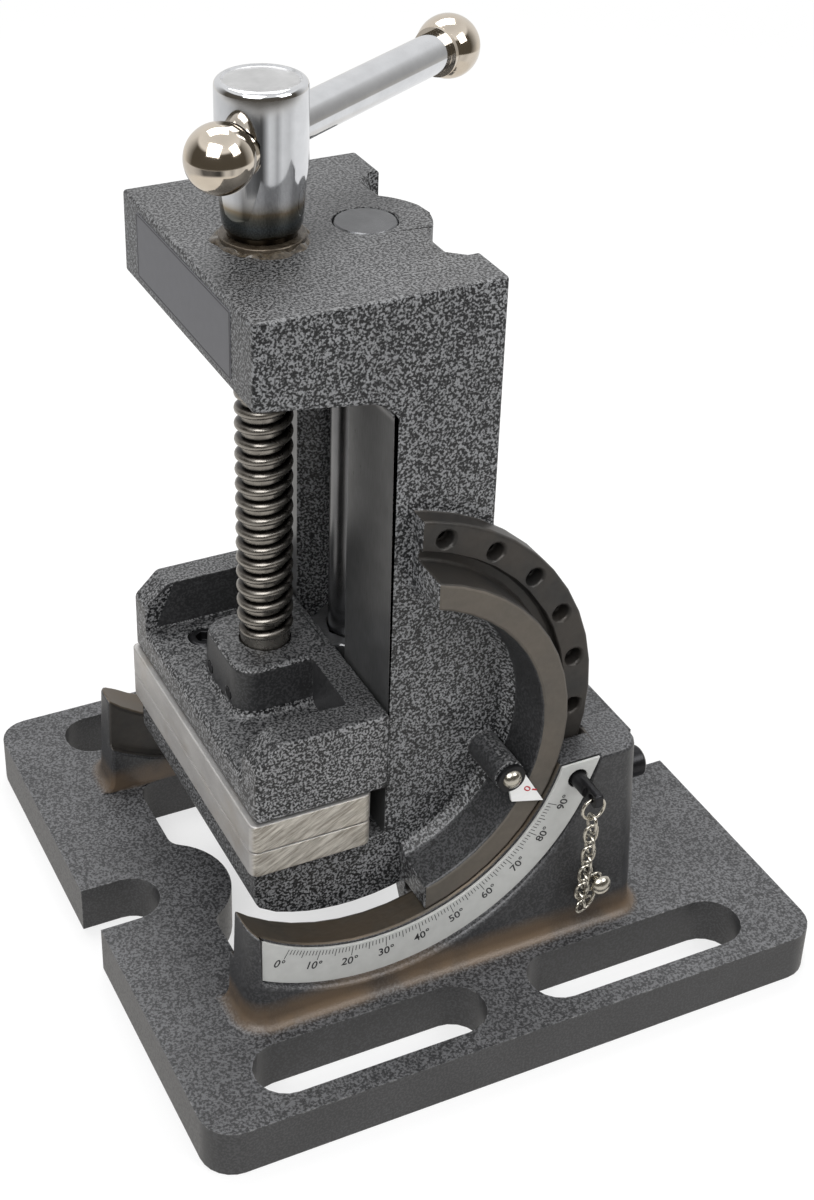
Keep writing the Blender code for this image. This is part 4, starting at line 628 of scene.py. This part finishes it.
def unfold(piece, width):
    """Narrow the rounding wherever it would fold a flat face over itself."""
    mesh = piece.data
    for _ in range(FOLD_ROUNDS):
        mesh.update_tag()
        bpy.context.view_layer.update()
        rounded = piece.evaluated_get(bpy.context.evaluated_depsgraph_get())
        shape = rounded.to_mesh()
        shape.calc_loop_triangles()
        spots = []
        for triangle in shape.loop_triangles:
            agree = triangle.normal.dot(shape.polygons[triangle.polygon_index].normal)
            if agree < 0 and triangle.area > FOLD_AREA:
                spots += [shape.vertices[index].co.copy() for index in triangle.vertices]
        rounded.to_mesh_clear()
        if not spots:
            return
        near = KDTree(len(spots))
        for index, spot in enumerate(spots):
            near.insert(spot, index)
        near.balance()
        weights = mesh.attributes["bevel_weight_edge"].data
        for edge in mesh.edges:
            away = min(near.find(mesh.vertices[index].co)[2] for index in edge.vertices)
            if away < 2 * width:
                weights[edge.index].value *= 0.5


def dress(node, looks, rule=None, edge=MACHINED_EDGE, unfolded=False):
    """Replace a node by its own shape with softened edges and materials face by face."""
    mesh = node_shell(node, rule)
    piece = add_piece(f"{node}_dressed", mesh)
    if node == "movable_jaw":  # a hair off the ways that it slides on
        mesh.transform(Matrix.Translation((-SLIDE_GAP, 0, 0)))
    edge_weights(mesh, edge)
    bevel = piece.modifiers.new("soft edges", "BEVEL")
    bevel.width = edge
    bevel.segments = 2
    bevel.limit_method = "WEIGHT"
    bevel.use_clamp_overlap = False
    if unfolded:
        unfold(piece, edge)
    settle(piece, looks, NODES[node]["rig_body"], node)
    even = piece.modifiers.new("flat faces", "WEIGHTED_NORMAL")
    even.keep_sharp = True
    return piece


def from_axis(place):
    """A point's distance from the tilt axis."""
    return math.hypot(place.x - TILT.x, place.z - TILT.z)


def from_radial(place, normal):
    """How far a face's normal agrees with the direction from the tilt axis."""
    away = Vector((place.x - TILT.x, 0, place.z - TILT.z)).normalized()
    return abs(away.dot(normal))


def body_rule(place, normal):
    """Vise body: 0 paint, 1 ring face, 2 flange, 3 ways, 4 floors of index holes in painted shade, 5 ring bore in
    painted shade.
    """
    reach = from_axis(place)
    out = abs(place.y)
    if abs(place.x - COLUMN_FRONT) < FACE_TOLERANCE and normal.x < -SQUARE:
        return 3
    if abs(out - RING_FACE) < FACE_TOLERANCE and abs(normal.y) > SQUARE:
        return 1 if reach > RING_INNER - FACE_TOLERANCE else 0
    # The ring's bore takes the painted shade hammertone.
    in_hollow = HOLLOW_WALL_INNER < reach < RING_INNER + FACE_TOLERANCE and out > HOLLOW_FLOOR_OUT
    if in_hollow and abs(normal.y) < 0.7 and from_radial(place, normal) > 0.5:
        return 5
    turned = RING_OUTER - 2 * FACE_TOLERANCE < reach < FLANGE_RADIUS + FACE_TOLERANCE
    if not turned or out < COLUMN_OUT + FACE_TOLERANCE or place.x < TRUNNION_END + FACE_TOLERANCE:
        return 0
    # The index holes' floors take near-black painted shade.
    hole_floor = abs(normal.y) > SQUARE and abs(out - INDEX_FLOOR_OUT) < FACE_TOLERANCE and place.y < 0
    return 4 if hole_floor else 2


def base_rule(place, normal):
    """Base: 0 paint, 1 saddle, 2 ledge and cheek insides, 3 underside."""
    reach = from_axis(place)
    out = abs(place.y)
    if place.z < FACE_TOLERANCE and normal.z < -SQUARE:
        return 3
    round_wall = abs(normal.y) < 0.5
    if abs(reach - SADDLE_RADIUS) < 2 * FACE_TOLERANCE and round_wall and out > CHEEK_INNER - FACE_TOLERANCE:
        return 1
    if abs(reach - LEDGE_RADIUS) < 2 * FACE_TOLERANCE and round_wall and place.z < TILT.z:
        return 2
    if min(abs(out - CHEEK_INNER), abs(out - POST_FACE)) < FACE_TOLERANCE and abs(normal.y) > SQUARE:
        return 2
    return 0


def jaw_rule(place, normal):
    """Movable jaw: 0 paint, 1 its machined underside, back and guide, 2 upright faces inside the tray, in painted
    shade.
    """
    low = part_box("movable_jaw")[0]
    if place.z < low.z + FACE_TOLERANCE or place.x > COLUMN_FRONT - 2 * FACE_TOLERANCE:
        return 1
    # Upright faces inside the tray get the painted shade hammertone.
    above_floor = place.z > low.z + TRAY_FLOOR_RISE
    inside = above_floor and abs(place.y) < TRAY_HALF_WIDTH and place.x > low.x + TRAY_INSET
    return 2 if inside and abs(normal.z) < 0.4 else 0


def revolve(name, profile, origin, direction, steps=FINE_STEPS):
    """A turned piece from (radius, height) points, from the top down its outer side."""
    mesh = bpy.data.meshes.new(name)
    verts = [(radius, 0, height) for radius, height in profile]
    edges = [(index, index + 1) for index in range(len(verts) - 1)]
    if profile[0][0] > 0:
        edges.append((len(verts) - 1, 0))
    mesh.from_pydata(verts, edges, [])
    turn = Vector(direction).to_track_quat("Z", "Y").to_matrix().to_4x4()
    piece = add_piece(name, mesh, Matrix.Translation(origin) @ turn)
    screw = piece.modifiers.new("turn", "SCREW")
    screw.steps = steps
    screw.render_steps = steps
    screw.use_merge_vertices = True
    screw.merge_threshold = WELD
    return piece


def settled_mesh(piece):
    """Turn a piece's modifiers into its mesh."""
    bpy.context.view_layer.update()
    graph = bpy.context.evaluated_depsgraph_get()
    mesh = bpy.data.meshes.new_from_object(piece.evaluated_get(graph))
    piece.modifiers.clear()
    piece.data = mesh
    return piece


def arc(center_u, center_v, radius, start, stop, steps):
    """Points on an arc, angles in degrees."""
    points = []
    for index in range(steps + 1):
        angle = math.radians(start + (stop - start) * index / steps)
        points.append((center_u + radius * math.cos(angle), center_v + radius * math.sin(angle)))
    return points


def cut_with(piece, tools):
    """Cut tools away from a piece and drop them."""
    for tool in tools:
        change = piece.modifiers.new("cut", "BOOLEAN")
        change.operation = "DIFFERENCE"
        change.solver = "EXACT"
        change.object = tool
    settled_mesh(piece)
    for tool in tools:
        bpy.data.objects.remove(tool)
    return piece


def ball_profile(radius, steps=48):
    """A half circle from the top pole to the bottom one."""
    return [(max(across, 0), along) for across, along in arc(0, 0, radius, 90, -90, steps)]


def screw_head():
    """The chrome head: waisted foot, rolled rim, sunk disc, bar bore and ball seats."""
    low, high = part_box("screw_head")
    foot, top = low.z, high.z
    profile = [(0, top - HEAD_DISC_DROP), (HEAD_DISC, top - HEAD_DISC_DROP), (HEAD_DISC + HEAD_DISC_DROP, top)]
    profile += arc(HEAD_RADIUS - HEAD_RIM, top - HEAD_RIM, HEAD_RIM, 84, 0, 8)
    profile += [(HEAD_RADIUS, foot + 2 * HEAD_FOOT)]
    profile += [(HEAD_FOOT_RADIUS + HEAD_FOOT_LIP, foot + HEAD_FOOT), (HEAD_FOOT_RADIUS, foot), (0, foot)]
    piece = settled_mesh(revolve("chrome_head", profile, (SCREW.x, 0, 0), (0, 0, 1)))
    middle = Vector((SCREW.x, 0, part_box("handle_bar")[0].z + BAR_RADIUS))
    near_low, near_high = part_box("handle_ball_near")
    seat = (middle - (near_low + near_high) / 2).length
    radius = BAR_RADIUS + BORE_GAP
    bore = [(0, 2 * CUT_REACH), (radius, 2 * CUT_REACH), (radius, 0), (0, 0)]
    tools = [settled_mesh(revolve("bar bore", bore, middle - BAR_AXIS * CUT_REACH, BAR_AXIS, TOOL_STEPS))]
    neck = BAR_RADIUS + BALL_NECK
    neck_end = math.sqrt(BALL_RADIUS**2 - neck**2) + BALL_NECK + BORE_GAP
    neck += BORE_GAP
    radius = BALL_RADIUS + BORE_GAP
    profile = [(0, neck_end), (neck, neck_end)]
    profile += arc(0, 0, radius, math.degrees(math.acos(neck / radius)), -89.9, 48) + [(0, -radius)]
    for side in (-1, 1):
        center = middle + BAR_AXIS * side * seat
        tools.append(settled_mesh(revolve("ball seat", profile, center, -BAR_AXIS * side, TOOL_STEPS)))
    cut_with(piece, tools)
    for face in piece.data.polygons:
        sunk = top - face.center.z < HEAD_DISC_DROP + WELD and face.normal.z > 0.99
        face.material_index = 1 if sunk else 0
    settle(piece, [HEAD_CHROME, DISC_STEEL], "lead_screw", "screw_head")


def handle():
    """The bar and its balls, each with a turned neck."""
    for node in ("handle_ball_near", "handle_ball_far"):
        low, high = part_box(node)
        middle = (low + high) / 2
        inward = -BAR_AXIS if node.endswith("far") else BAR_AXIS
        piece = revolve(f"{node}_polished", ball_profile(BALL_RADIUS), middle, inward, ROUND_STEPS)
        neck = BAR_RADIUS + BALL_NECK
        start = math.sqrt(BALL_RADIUS**2 - neck**2)
        ring = [(neck, start + BALL_NECK), (neck, start - BALL_NECK), (BAR_RADIUS, start - BALL_NECK)]
        ring += [(BAR_RADIUS, start + BALL_NECK)]
        settle(settled_mesh(piece), [NICKEL], "handle", node)
        collar = revolve(f"{node}_neck", ring, middle, inward, ROUND_STEPS)
        settle(settled_mesh(collar), [NICKEL], "handle")
    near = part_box("handle_ball_near")
    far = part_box("handle_ball_far")
    start = (near[0] + near[1]) / 2
    reach = ((far[0] + far[1]) / 2 - start).length
    bar = [(0, reach), (BAR_RADIUS, reach), (BAR_RADIUS, 0), (0, 0)]
    piece = settled_mesh(revolve("handle_bar_polished", bar, start, BAR_AXIS, ROUND_STEPS))
    settle(piece, [CHROME], "handle", "handle_bar")


def lead_screw():
    """The lead screw with its real thread, journal, groove and collar."""
    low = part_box("lead_screw")[0]
    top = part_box("thrust_washer")[1].z
    root = THREAD_RADIUS - THREAD_DEPTH
    turns = (top - THREAD_START) / THREAD_PITCH
    work = bmesh.new()
    columns = []
    for index in range(int(turns * THREAD_STEPS) + 1):
        angle = 2 * math.pi * index / THREAD_STEPS
        fade = min(1, index / (THREAD_STEPS * THREAD_RUN_IN))
        column = []
        for share, rise in THREAD_SHARES + [(1, 0)]:
            reach = root + THREAD_DEPTH * rise * fade
            height = THREAD_START + THREAD_PITCH * (index / THREAD_STEPS + share - 1)
            place = (SCREW.x + reach * math.cos(angle), reach * math.sin(angle), height)
            column.append(work.verts.new(place))
        columns.append(column)
    for first, second in zip(columns, columns[1:]):
        for row in range(len(first) - 1):
            work.faces.new((first[row], second[row], second[row + 1], first[row + 1]))
    bmesh.ops.remove_doubles(work, verts=work.verts, dist=WELD)
    mesh = bpy.data.meshes.new("thread")
    work.to_mesh(mesh)
    work.free()
    settle(add_piece("screw_thread", mesh), [THREAD], "lead_screw")
    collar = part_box("screw_head")[0].z
    profile = [
        (0, collar),
        (HEAD_FOOT_RADIUS, collar),
        (HEAD_FOOT_RADIUS - HEAD_FOOT_LIP, top + COLLAR_WAIST + 1.5 * MM),
        (HEAD_FOOT_RADIUS - 0.9 * MM, top + COLLAR_WAIST),
        (HEAD_FOOT_RADIUS - 1.6 * MM, top + COLLAR_WAIST - 0.5 * MM),
        (HEAD_FOOT_RADIUS - 1.8 * MM, top + WASHER_GAP),
        (root + 0.1 * MM, top + WASHER_GAP),
        (root + 0.1 * MM, THREAD_START + MM),
        (THREAD_RADIUS - MM, THREAD_START),
        (THREAD_RADIUS - MM, low.z + MM),
        (THREAD_RADIUS - 2 * MM, low.z),
        (0, low.z),
    ]
    piece = settled_mesh(revolve("screw_shank", profile, (SCREW.x, 0, 0), (0, 0, 1)))
    for face in piece.data.polygons:
        face.material_index = 1 if face.center.z > top else 0
    settle(piece, [THREAD, HEAD_CHROME], "lead_screw", "lead_screw")


def flat_shape(name, outlines, thickness, place, look, body):
    """A thin flat shape with outlines in its own XY plane, the inner ones holes."""
    curve = bpy.data.curves.new(name, "CURVE")
    curve.dimensions = "2D"
    curve.fill_mode = "BOTH"
    curve.extrude = thickness / 2
    for points in outlines:
        spline = curve.splines.new("POLY")
        spline.points.add(len(points) - 1)
        for point, (across, along) in zip(spline.points, points):
            point.co = (across, along, 0, 1)
        spline.use_cyclic_u = True
    return settle(as_mesh(add_piece(name, curve, place)), [look], body)


def as_mesh(piece):
    """Swap a curve or text piece for the same shape as a mesh."""
    bpy.context.view_layer.update()
    graph = bpy.context.evaluated_depsgraph_get()
    mesh = bpy.data.meshes.new_from_object(piece.evaluated_get(graph))
    name = piece.name
    place = piece.matrix_world.copy()
    bpy.data.objects.remove(piece)
    return add_piece(name, mesh, place)


def lettering(name, body_text, size, place):
    """One printed number as a mesh piece."""
    curve = bpy.data.curves.new(name, "FONT")
    curve.body = body_text
    curve.size = size
    curve.align_x = "CENTER"
    curve.align_y = "CENTER"
    curve.extrude = INK_THICKNESS / 2
    curve.offset = INK_SWELL
    curve.resolution_u = 3
    return as_mesh(add_piece(name, curve, place))


def facing_near(x, y, z, turn):
    """Local XY laid on a face towards -Y, turned about it."""
    return Matrix.Translation((x, y, z)) @ Matrix.Rotation(-turn, 4, "Y") @ Matrix.Rotation(math.radians(90), 4, "X")


def merged(name, parts):
    """Join mesh pieces into one."""
    work = bmesh.new()
    for item in parts:
        item.data.transform(item.matrix_world)
        work.from_mesh(item.data)
        bpy.data.objects.remove(item)
    mesh = bpy.data.meshes.new(name)
    work.to_mesh(mesh)
    work.free()
    return add_piece(name, mesh)


def scale_print():
    """The degree ticks and numbers on the scale."""
    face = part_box("degree_scale")[0].y - INK_LIFT - INK_THICKNESS / 2
    ticks = bmesh.new()
    for degree in range(91):
        length = TICK_LONG if degree % 10 == 0 else TICK_MIDDLE if degree % 5 == 0 else TICK_SHORT
        angle = math.radians(SCALE_ZERO + degree)
        reach = TICK_INNER + length / 2
        place = Vector((TILT.x + reach * math.cos(angle), face, TILT.z + reach * math.sin(angle)))
        size = Matrix.Diagonal((length, INK_THICKNESS, TICK_WIDTH, 1))
        matrix = Matrix.Translation(place) @ Matrix.Rotation(-angle, 4, "Y") @ size
        bmesh.ops.create_cube(ticks, size=1, matrix=matrix)
    mesh = bpy.data.meshes.new("scale_ticks")
    ticks.to_mesh(mesh)
    ticks.free()
    settle(add_piece("scale_ticks", mesh), [BLACK_INK], "base")
    numbers = []
    for degree in range(0, 91, 10):
        angle = math.radians(DIGIT_ZERO + DIGIT_STEP * degree)
        x = TILT.x + DIGIT_RADIUS * math.cos(angle)
        z = TILT.z + DIGIT_RADIUS * math.sin(angle)
        place = facing_near(x, face, z, angle + math.radians(90))
        numbers.append(lettering(f"number_{degree}", f"{degree}°", DIGIT_SIZE, place))
    settle(merged("scale_numbers", numbers), [BLACK_INK], "base")


def pointer_print():
    """The red zero and tick on the pointer, and the dark round tab under its screw."""
    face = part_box("angle_pointer")[0].y - INK_LIFT - INK_THICKNESS / 2
    spot = facing_near(POINTER_MARK_X, face, POINTER_MARK_Z, math.radians(POINTER_LEAN))
    zero = lettering("pointer_zero", "0", POINTER_DIGIT_SIZE, spot)
    tick = bmesh.new()
    reach = (TICK_LONG + TICK_SHORT) / 3
    away = Vector((POINTER_MARK_X - TILT.x, 0, POINTER_MARK_Z - TILT.z)).normalized()
    place = Vector((POINTER_MARK_X, face, POINTER_MARK_Z)) + away * POINTER_TICK_OUT
    turn = math.atan2(away.z, away.x)
    size = Matrix.Diagonal((reach, INK_THICKNESS, 2.5 * TICK_WIDTH, 1))
    bmesh.ops.create_cube(tick, size=1, matrix=Matrix.Translation(place) @ Matrix.Rotation(-turn, 4, "Y") @ size)
    mesh = bpy.data.meshes.new("pointer_tick")
    tick.to_mesh(mesh)
    tick.free()
    settle(merged("pointer_marks", [zero, add_piece("pointer_tick", mesh)]), [RED_INK], "vise_body")
    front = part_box("angle_pointer")[0].y
    rim = POINTER_TAB_RADIUS
    profile = [
        (rim - 0.3 * MM, POINTER_TAB_HEIGHT),
        (rim, POINTER_TAB_HEIGHT - 0.15 * MM),
        (rim, POINTER_TAB_BACK),
        (POINTER_TAB_BORE, POINTER_TAB_BACK),
        (POINTER_TAB_BORE, POINTER_TAB_HEIGHT),
    ]
    tab = revolve("pointer_tab", profile, (POINTER_TAB_X, front, POINTER_TAB_Z), (0, -1, 0), TOOL_STEPS)
    settle(settled_mesh(tab), [BLACK_STEEL], "vise_body")


def rounded_rectangle(width, height, radius):
    """The outline of a rectangle with round corners about the origin."""
    right = width / 2 - radius
    top = height / 2 - radius
    points = arc(right, top, radius, 0, 90, 6) + arc(-right, top, radius, 90, 180, 6)
    return points + arc(-right, -top, radius, 180, 270, 6) + arc(right, -top, radius, 270, 360, 6)


def label_plate():
    """The bare plate on the head block, with a thin border line."""
    place = Matrix.Translation((HEAD_FRONT, LABEL_MIDDLE_Y, LABEL_MIDDLE_Z))
    place = place @ Matrix.Rotation(math.radians(-90), 4, "Z") @ Matrix.Rotation(math.radians(90), 4, "X")
    sheet = rounded_rectangle(LABEL_WIDTH, LABEL_HEIGHT, LABEL_CORNER)
    flat_shape("label_plate", [sheet], LABEL_THICKNESS, place, LABEL_SHEET, "vise_body")
    outer = rounded_rectangle(LABEL_WIDTH - LABEL_BORDER, LABEL_HEIGHT - LABEL_BORDER, LABEL_CORNER / 2)
    line = LABEL_BORDER + 2 * LABEL_LINE
    inner = rounded_rectangle(LABEL_WIDTH - line, LABEL_HEIGHT - line, LABEL_CORNER / 2)
    lift = Matrix.Translation((-LABEL_THICKNESS / 2 - INK_LIFT, 0, 0))
    flat_shape("label_border", [outer, inner], INK_THICKNESS, lift @ place, LABEL_DARK, "vise_body")


def chain():
    """The links and the ring with round wire."""
    links = sorted(node for node in NODES if node.startswith("chain_link"))
    for node in [*links, "pin_ring"]:
        piece = add_piece(f"{node}_wire", node_shell(node, flatten=False))
        smooth = piece.modifiers.new("round wire", "SUBSURF")
        smooth.levels = 1
        smooth.render_levels = 1
        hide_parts(node)
        piece.data.materials.append(ZINC)
        piece.data.shade_smooth()
        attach(piece, NODES[node]["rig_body"])


def grease():
    """Brown grease squeezed out round the foot of the screw."""
    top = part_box("vise_body")[1].z
    work = bmesh.new()
    rings = []
    for share, rise in GREASE_PROFILE:
        ring = []
        for index in range(ROUND_STEPS):
            angle = 2 * math.pi * index / ROUND_STEPS
            swell = math.sin(3 * angle) * 0.7 + math.sin(7 * angle + 1) * 0.5 + math.sin(13 * angle + 2) * 0.3
            outer = GREASE_OUTER + GREASE_SWELL * swell
            reach = (GREASE_INNER + (outer - GREASE_INNER) * share) * MM
            height = top + rise * (0.75 + 0.25 * math.sin(11 * angle)) * MM
            ring.append(work.verts.new((SCREW.x + reach * math.cos(angle), reach * math.sin(angle), height)))
        rings.append(ring)
    for first, second in zip(rings, rings[1:]):
        for index in range(ROUND_STEPS):
            after = (index + 1) % ROUND_STEPS
            work.faces.new((first[index], second[index], second[after], first[after]))
    mesh = bpy.data.meshes.new("screw_grease")
    work.to_mesh(mesh)
    work.free()
    settle(add_piece("screw_grease", mesh), [GREASE], "vise_body")


def castings():
    """The castings and the plain pieces that keep their CAD shapes."""
    looks = [BODY_PAINT, RING_FACE_STEEL, FLANGE_FACE, WAY_FACE, HOLE_FLOOR_SHADE, PAINTED_SHADE_HAMMERTONE]
    dress("vise_body", looks, body_rule, CAST_EDGE, True)
    dress("base_casting", [BASE_PAINT, SADDLE_FACE, FLANGE_FACE, PLAIN_CUT], base_rule, BASE_EDGE)
    dress("movable_jaw", [JAW_PAINT, WAY_FACE, PAINTED_SHADE_HAMMERTONE], jaw_rule, CAST_EDGE, True)
    for node in ("fixed_jaw_plate", "movable_jaw_plate"):
        dress(node, [GROUND], edge=PLATE_EDGE)
    for node in ("index_pin", "lock_screw_near", "lock_screw_far"):
        dress(node, [BLACK_STEEL], edge=SMALL_EDGE)
    dress("thrust_washer", [OILY_WASHER], edge=WASHER_EDGE)
    for word in ("near", "far"):
        dress(f"clamp_shoe_{word}", [BRASS], edge=SMALL_EDGE)
        dress(f"fixed_jaw_screw_{word}", [BLACK_STEEL], edge=SMALL_EDGE)
        dress(f"movable_jaw_screw_{word}", [BLACK_STEEL], edge=SMALL_EDGE)
        dress(f"screw_retaining_pin_{word}", [BLACK_STEEL], edge=PLATE_EDGE)
    dress("degree_scale", [SCALE_PLATE], edge=THIN_EDGE)
    dress("angle_pointer", [WHITE_ENAMEL], edge=THIN_EDGE)
    for node in ("pointer_screw", "chain_screw"):
        dress(node, [ZINC], edge=THIN_EDGE)


def guide_rod():
    """The guide rod with its polished end."""
    low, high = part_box("guide_rod")
    radius = (high.x - low.x) / 2
    profile = [(0, high.z), (radius - ROD_EDGE, high.z), (radius, high.z - ROD_EDGE), (radius, low.z), (0, low.z)]
    piece = revolve("guide_rod_polished", profile, ((low.x + high.x) / 2, 0, 0), (0, 0, 1), ROUND_STEPS)
    settle(settled_mesh(piece), [ROD_STEEL], "vise_body", "guide_rod")


def camera():
    """The photograph's camera."""
    yaw, pitch, roll = (math.radians(angle) for angle in (CAMERA_YAW, CAMERA_PITCH, CAMERA_ROLL))
    forward = Vector((math.sin(yaw) * math.cos(pitch), math.cos(yaw) * math.cos(pitch), math.sin(pitch)))
    level = Vector((math.cos(yaw), -math.sin(yaw), 0))
    above = level.cross(forward)
    right = level * math.cos(roll) + above * math.sin(roll)
    up = above * math.cos(roll) - level * math.sin(roll)
    data = bpy.data.cameras.new("photo_camera")
    data.sensor_width = SENSOR
    data.lens = FOCAL_PIXELS * SENSOR / PHOTO_HEIGHT
    data.shift_x = (PHOTO_WIDTH / 2 - CENTER_PIXEL[0]) / PHOTO_HEIGHT
    data.shift_y = (CENTER_PIXEL[1] - PHOTO_HEIGHT / 2) / PHOTO_HEIGHT
    data.clip_start = 0.01
    made = bpy.data.objects.new("photo_camera", data)
    bpy.context.scene.collection.objects.link(made)
    turn = Matrix((right, up, -forward)).transposed().to_4x4()
    made.matrix_world = Matrix.Translation(CAMERA_PLACE) @ turn
    bpy.context.scene.camera = made


def by_compass(tree, across, along, stops):
    """A value by compass direction, from (degrees, value) stops."""
    angle = computed(tree, "ARCTAN2", along, across)
    inputs = {"Value": angle, "From Min": -math.pi, "From Max": math.pi}
    turn = add_node(tree, "ShaderNodeMapRange", inputs).outputs["Result"]
    return ramp(tree, turn, *(((degrees + 180) / 360, value) for degrees, value in stops))


def floor():
    """A pale floor that stays white in view and keeps a soft shadow; in reflections it glows as a painted studio."""
    mesh = bpy.data.meshes.new("floor")
    reach = FLOOR_REACH
    corners = [(-reach, -reach, 0), (reach, -reach, 0), (reach, reach, 0), (-reach, reach, 0)]
    mesh.from_pydata(corners, [], [(0, 1, 2, 3)])
    made, tree, shader = new_material("floor_white")
    shader.inputs["Roughness"].default_value = 0.8
    shader.inputs["Specular IOR Level"].default_value = 0.1
    rays = add_node(tree, "ShaderNodeLightPath")
    white = mixed(tree, rays.outputs["Is Camera Ray"], FLOOR_LIT, FLOOR_SEEN)
    tree.links.new(white, shader.inputs["Base Color"])
    glow = add_node(tree, "ShaderNodeEmission", {"Color": (1, 1, 1, 1), "Strength": 1.0})
    offset = add_node(
        tree, "ShaderNodeVectorMath", {0: object_place(tree), 1: (SCREW.x, SCREW.y, 0)}, operation="SUBTRACT"
    )
    split = add_node(tree, "ShaderNodeSeparateXYZ", {"Vector": offset.outputs["Vector"]})
    across, along = split.outputs["X"], split.outputs["Y"]
    # In reflections the floor glows as a painted studio: a pale sweep near, dark flags further out, and a dark room
    # beyond.
    flags = by_compass(tree, across, along, FLAG_SHADES)
    room = mixed(tree, by_compass(tree, across, along, ROOM_SHARES), SWEEP, DARK_ROOM)
    away = add_node(tree, "ShaderNodeVectorMath", {0: offset.outputs["Vector"]}, operation="LENGTH").outputs["Value"]
    brightness = ramp(tree, away, (0.5, FLOOR_GLOW), (1.0, 1.0))
    share = computed(tree, "MULTIPLY", rays.outputs["Is Camera Ray"], brightness)
    inputs = {0: share, 1: shader.outputs["BSDF"], 2: glow.outputs["Emission"]}
    plain = add_node(tree, "ShaderNodeMixShader", inputs)
    flagged = ramp(tree, away, (0.34, 0.0), (0.42, 1.0), (0.86, 1.0), (0.92, 0.0))
    sweep = mixed(tree, flagged, SWEEP, flags)
    sweep = mixed(tree, ramp(tree, away, (0.88, 0.0), (0.99, 1.0)), sweep, room)
    mirrored = add_node(tree, "ShaderNodeEmission", {"Color": sweep, "Strength": 1.0})
    inputs = {0: rays.outputs["Is Glossy Ray"], 1: plain.outputs["Shader"], 2: mirrored.outputs["Emission"]}
    mix = add_node(tree, "ShaderNodeMixShader", inputs)
    tree.links.new(mix.outputs["Shader"], tree.nodes["Material Output"].inputs["Surface"])
    mesh.materials.append(made)
    plane = add_piece("floor", mesh)
    plane.location.z = -FLOOR_DROP


def world():
    """White behind the object, even light on it, and a half dark studio in its reflections."""
    made = bpy.data.worlds.new("studio")
    bpy.context.scene.world = made
    made.use_nodes = True
    tree = made.node_tree
    tree.nodes.clear()
    rays = add_node(tree, "ShaderNodeLightPath")
    place = add_node(tree, "ShaderNodeTexCoord").outputs["Generated"]
    split = add_node(tree, "ShaderNodeSeparateXYZ", {"Vector": place})
    share = by_compass(tree, split.outputs["X"], split.outputs["Y"], ROOM_SHARES)
    front = ramp(tree, split.outputs["Z"], (0.52, DARK_ROOM), (0.62, (0.95, 0.95, 0.95)), (1.0, (0.75, 0.75, 0.75)))
    back = ramp(tree, split.outputs["Z"], (0.0, 0.8), (0.5, 0.85), (1.0, 0.75))
    sky = mixed(tree, share, back, front)
    even = add_node(tree, "ShaderNodeBackground", {"Color": (1, 1, 1, 1), "Strength": WORLD_LIGHT})
    white = add_node(tree, "ShaderNodeBackground", {"Color": (1, 1, 1, 1), "Strength": 1.0})
    studio = add_node(tree, "ShaderNodeBackground", {"Color": sky, "Strength": 1.0})
    inputs = {0: rays.outputs["Is Glossy Ray"], 1: even.outputs[0], 2: studio.outputs[0]}
    shiny = add_node(tree, "ShaderNodeMixShader", inputs)
    inputs = {0: rays.outputs["Is Camera Ray"], 1: shiny.outputs[0], 2: white.outputs[0]}
    seen = add_node(tree, "ShaderNodeMixShader", inputs)
    output = add_node(tree, "ShaderNodeOutputWorld")
    tree.links.new(seen.outputs[0], output.inputs["Surface"])


def softbox(name, place, aim, width, height, power):
    """A rectangular lamp that faces a point."""
    data = bpy.data.lights.new(name, "AREA")
    data.shape = "RECTANGLE"
    data.size = width
    data.size_y = height
    data.energy = power
    lamp = bpy.data.objects.new(name, data)
    bpy.context.scene.collection.objects.link(lamp)
    away = (Vector(place) - Vector(aim)).to_track_quat("Z", "Y").to_matrix().to_4x4()
    lamp.matrix_world = Matrix.Translation(place) @ away


def lights():
    """Soft light from the front left, a fill from the right and one from above behind."""
    aim = (-0.02, 0, 0.12)
    softbox("key_light", (-0.65, -0.6, 1.1), aim, 0.9, 0.9, 11)
    softbox("fill_light", (0.6, -0.75, 0.95), aim, 0.6, 0.6, 5)
    softbox("top_light", (0.1, 0.5, 1.3), aim, 0.9, 0.6, 9)


camera()
castings()
guide_rod()
lead_screw()
screw_head()
handle()
scale_print()
pointer_print()
label_plate()
chain()
grease()
floor()
world()
lights()
bpy.context.scene.view_settings.view_transform = "Standard"
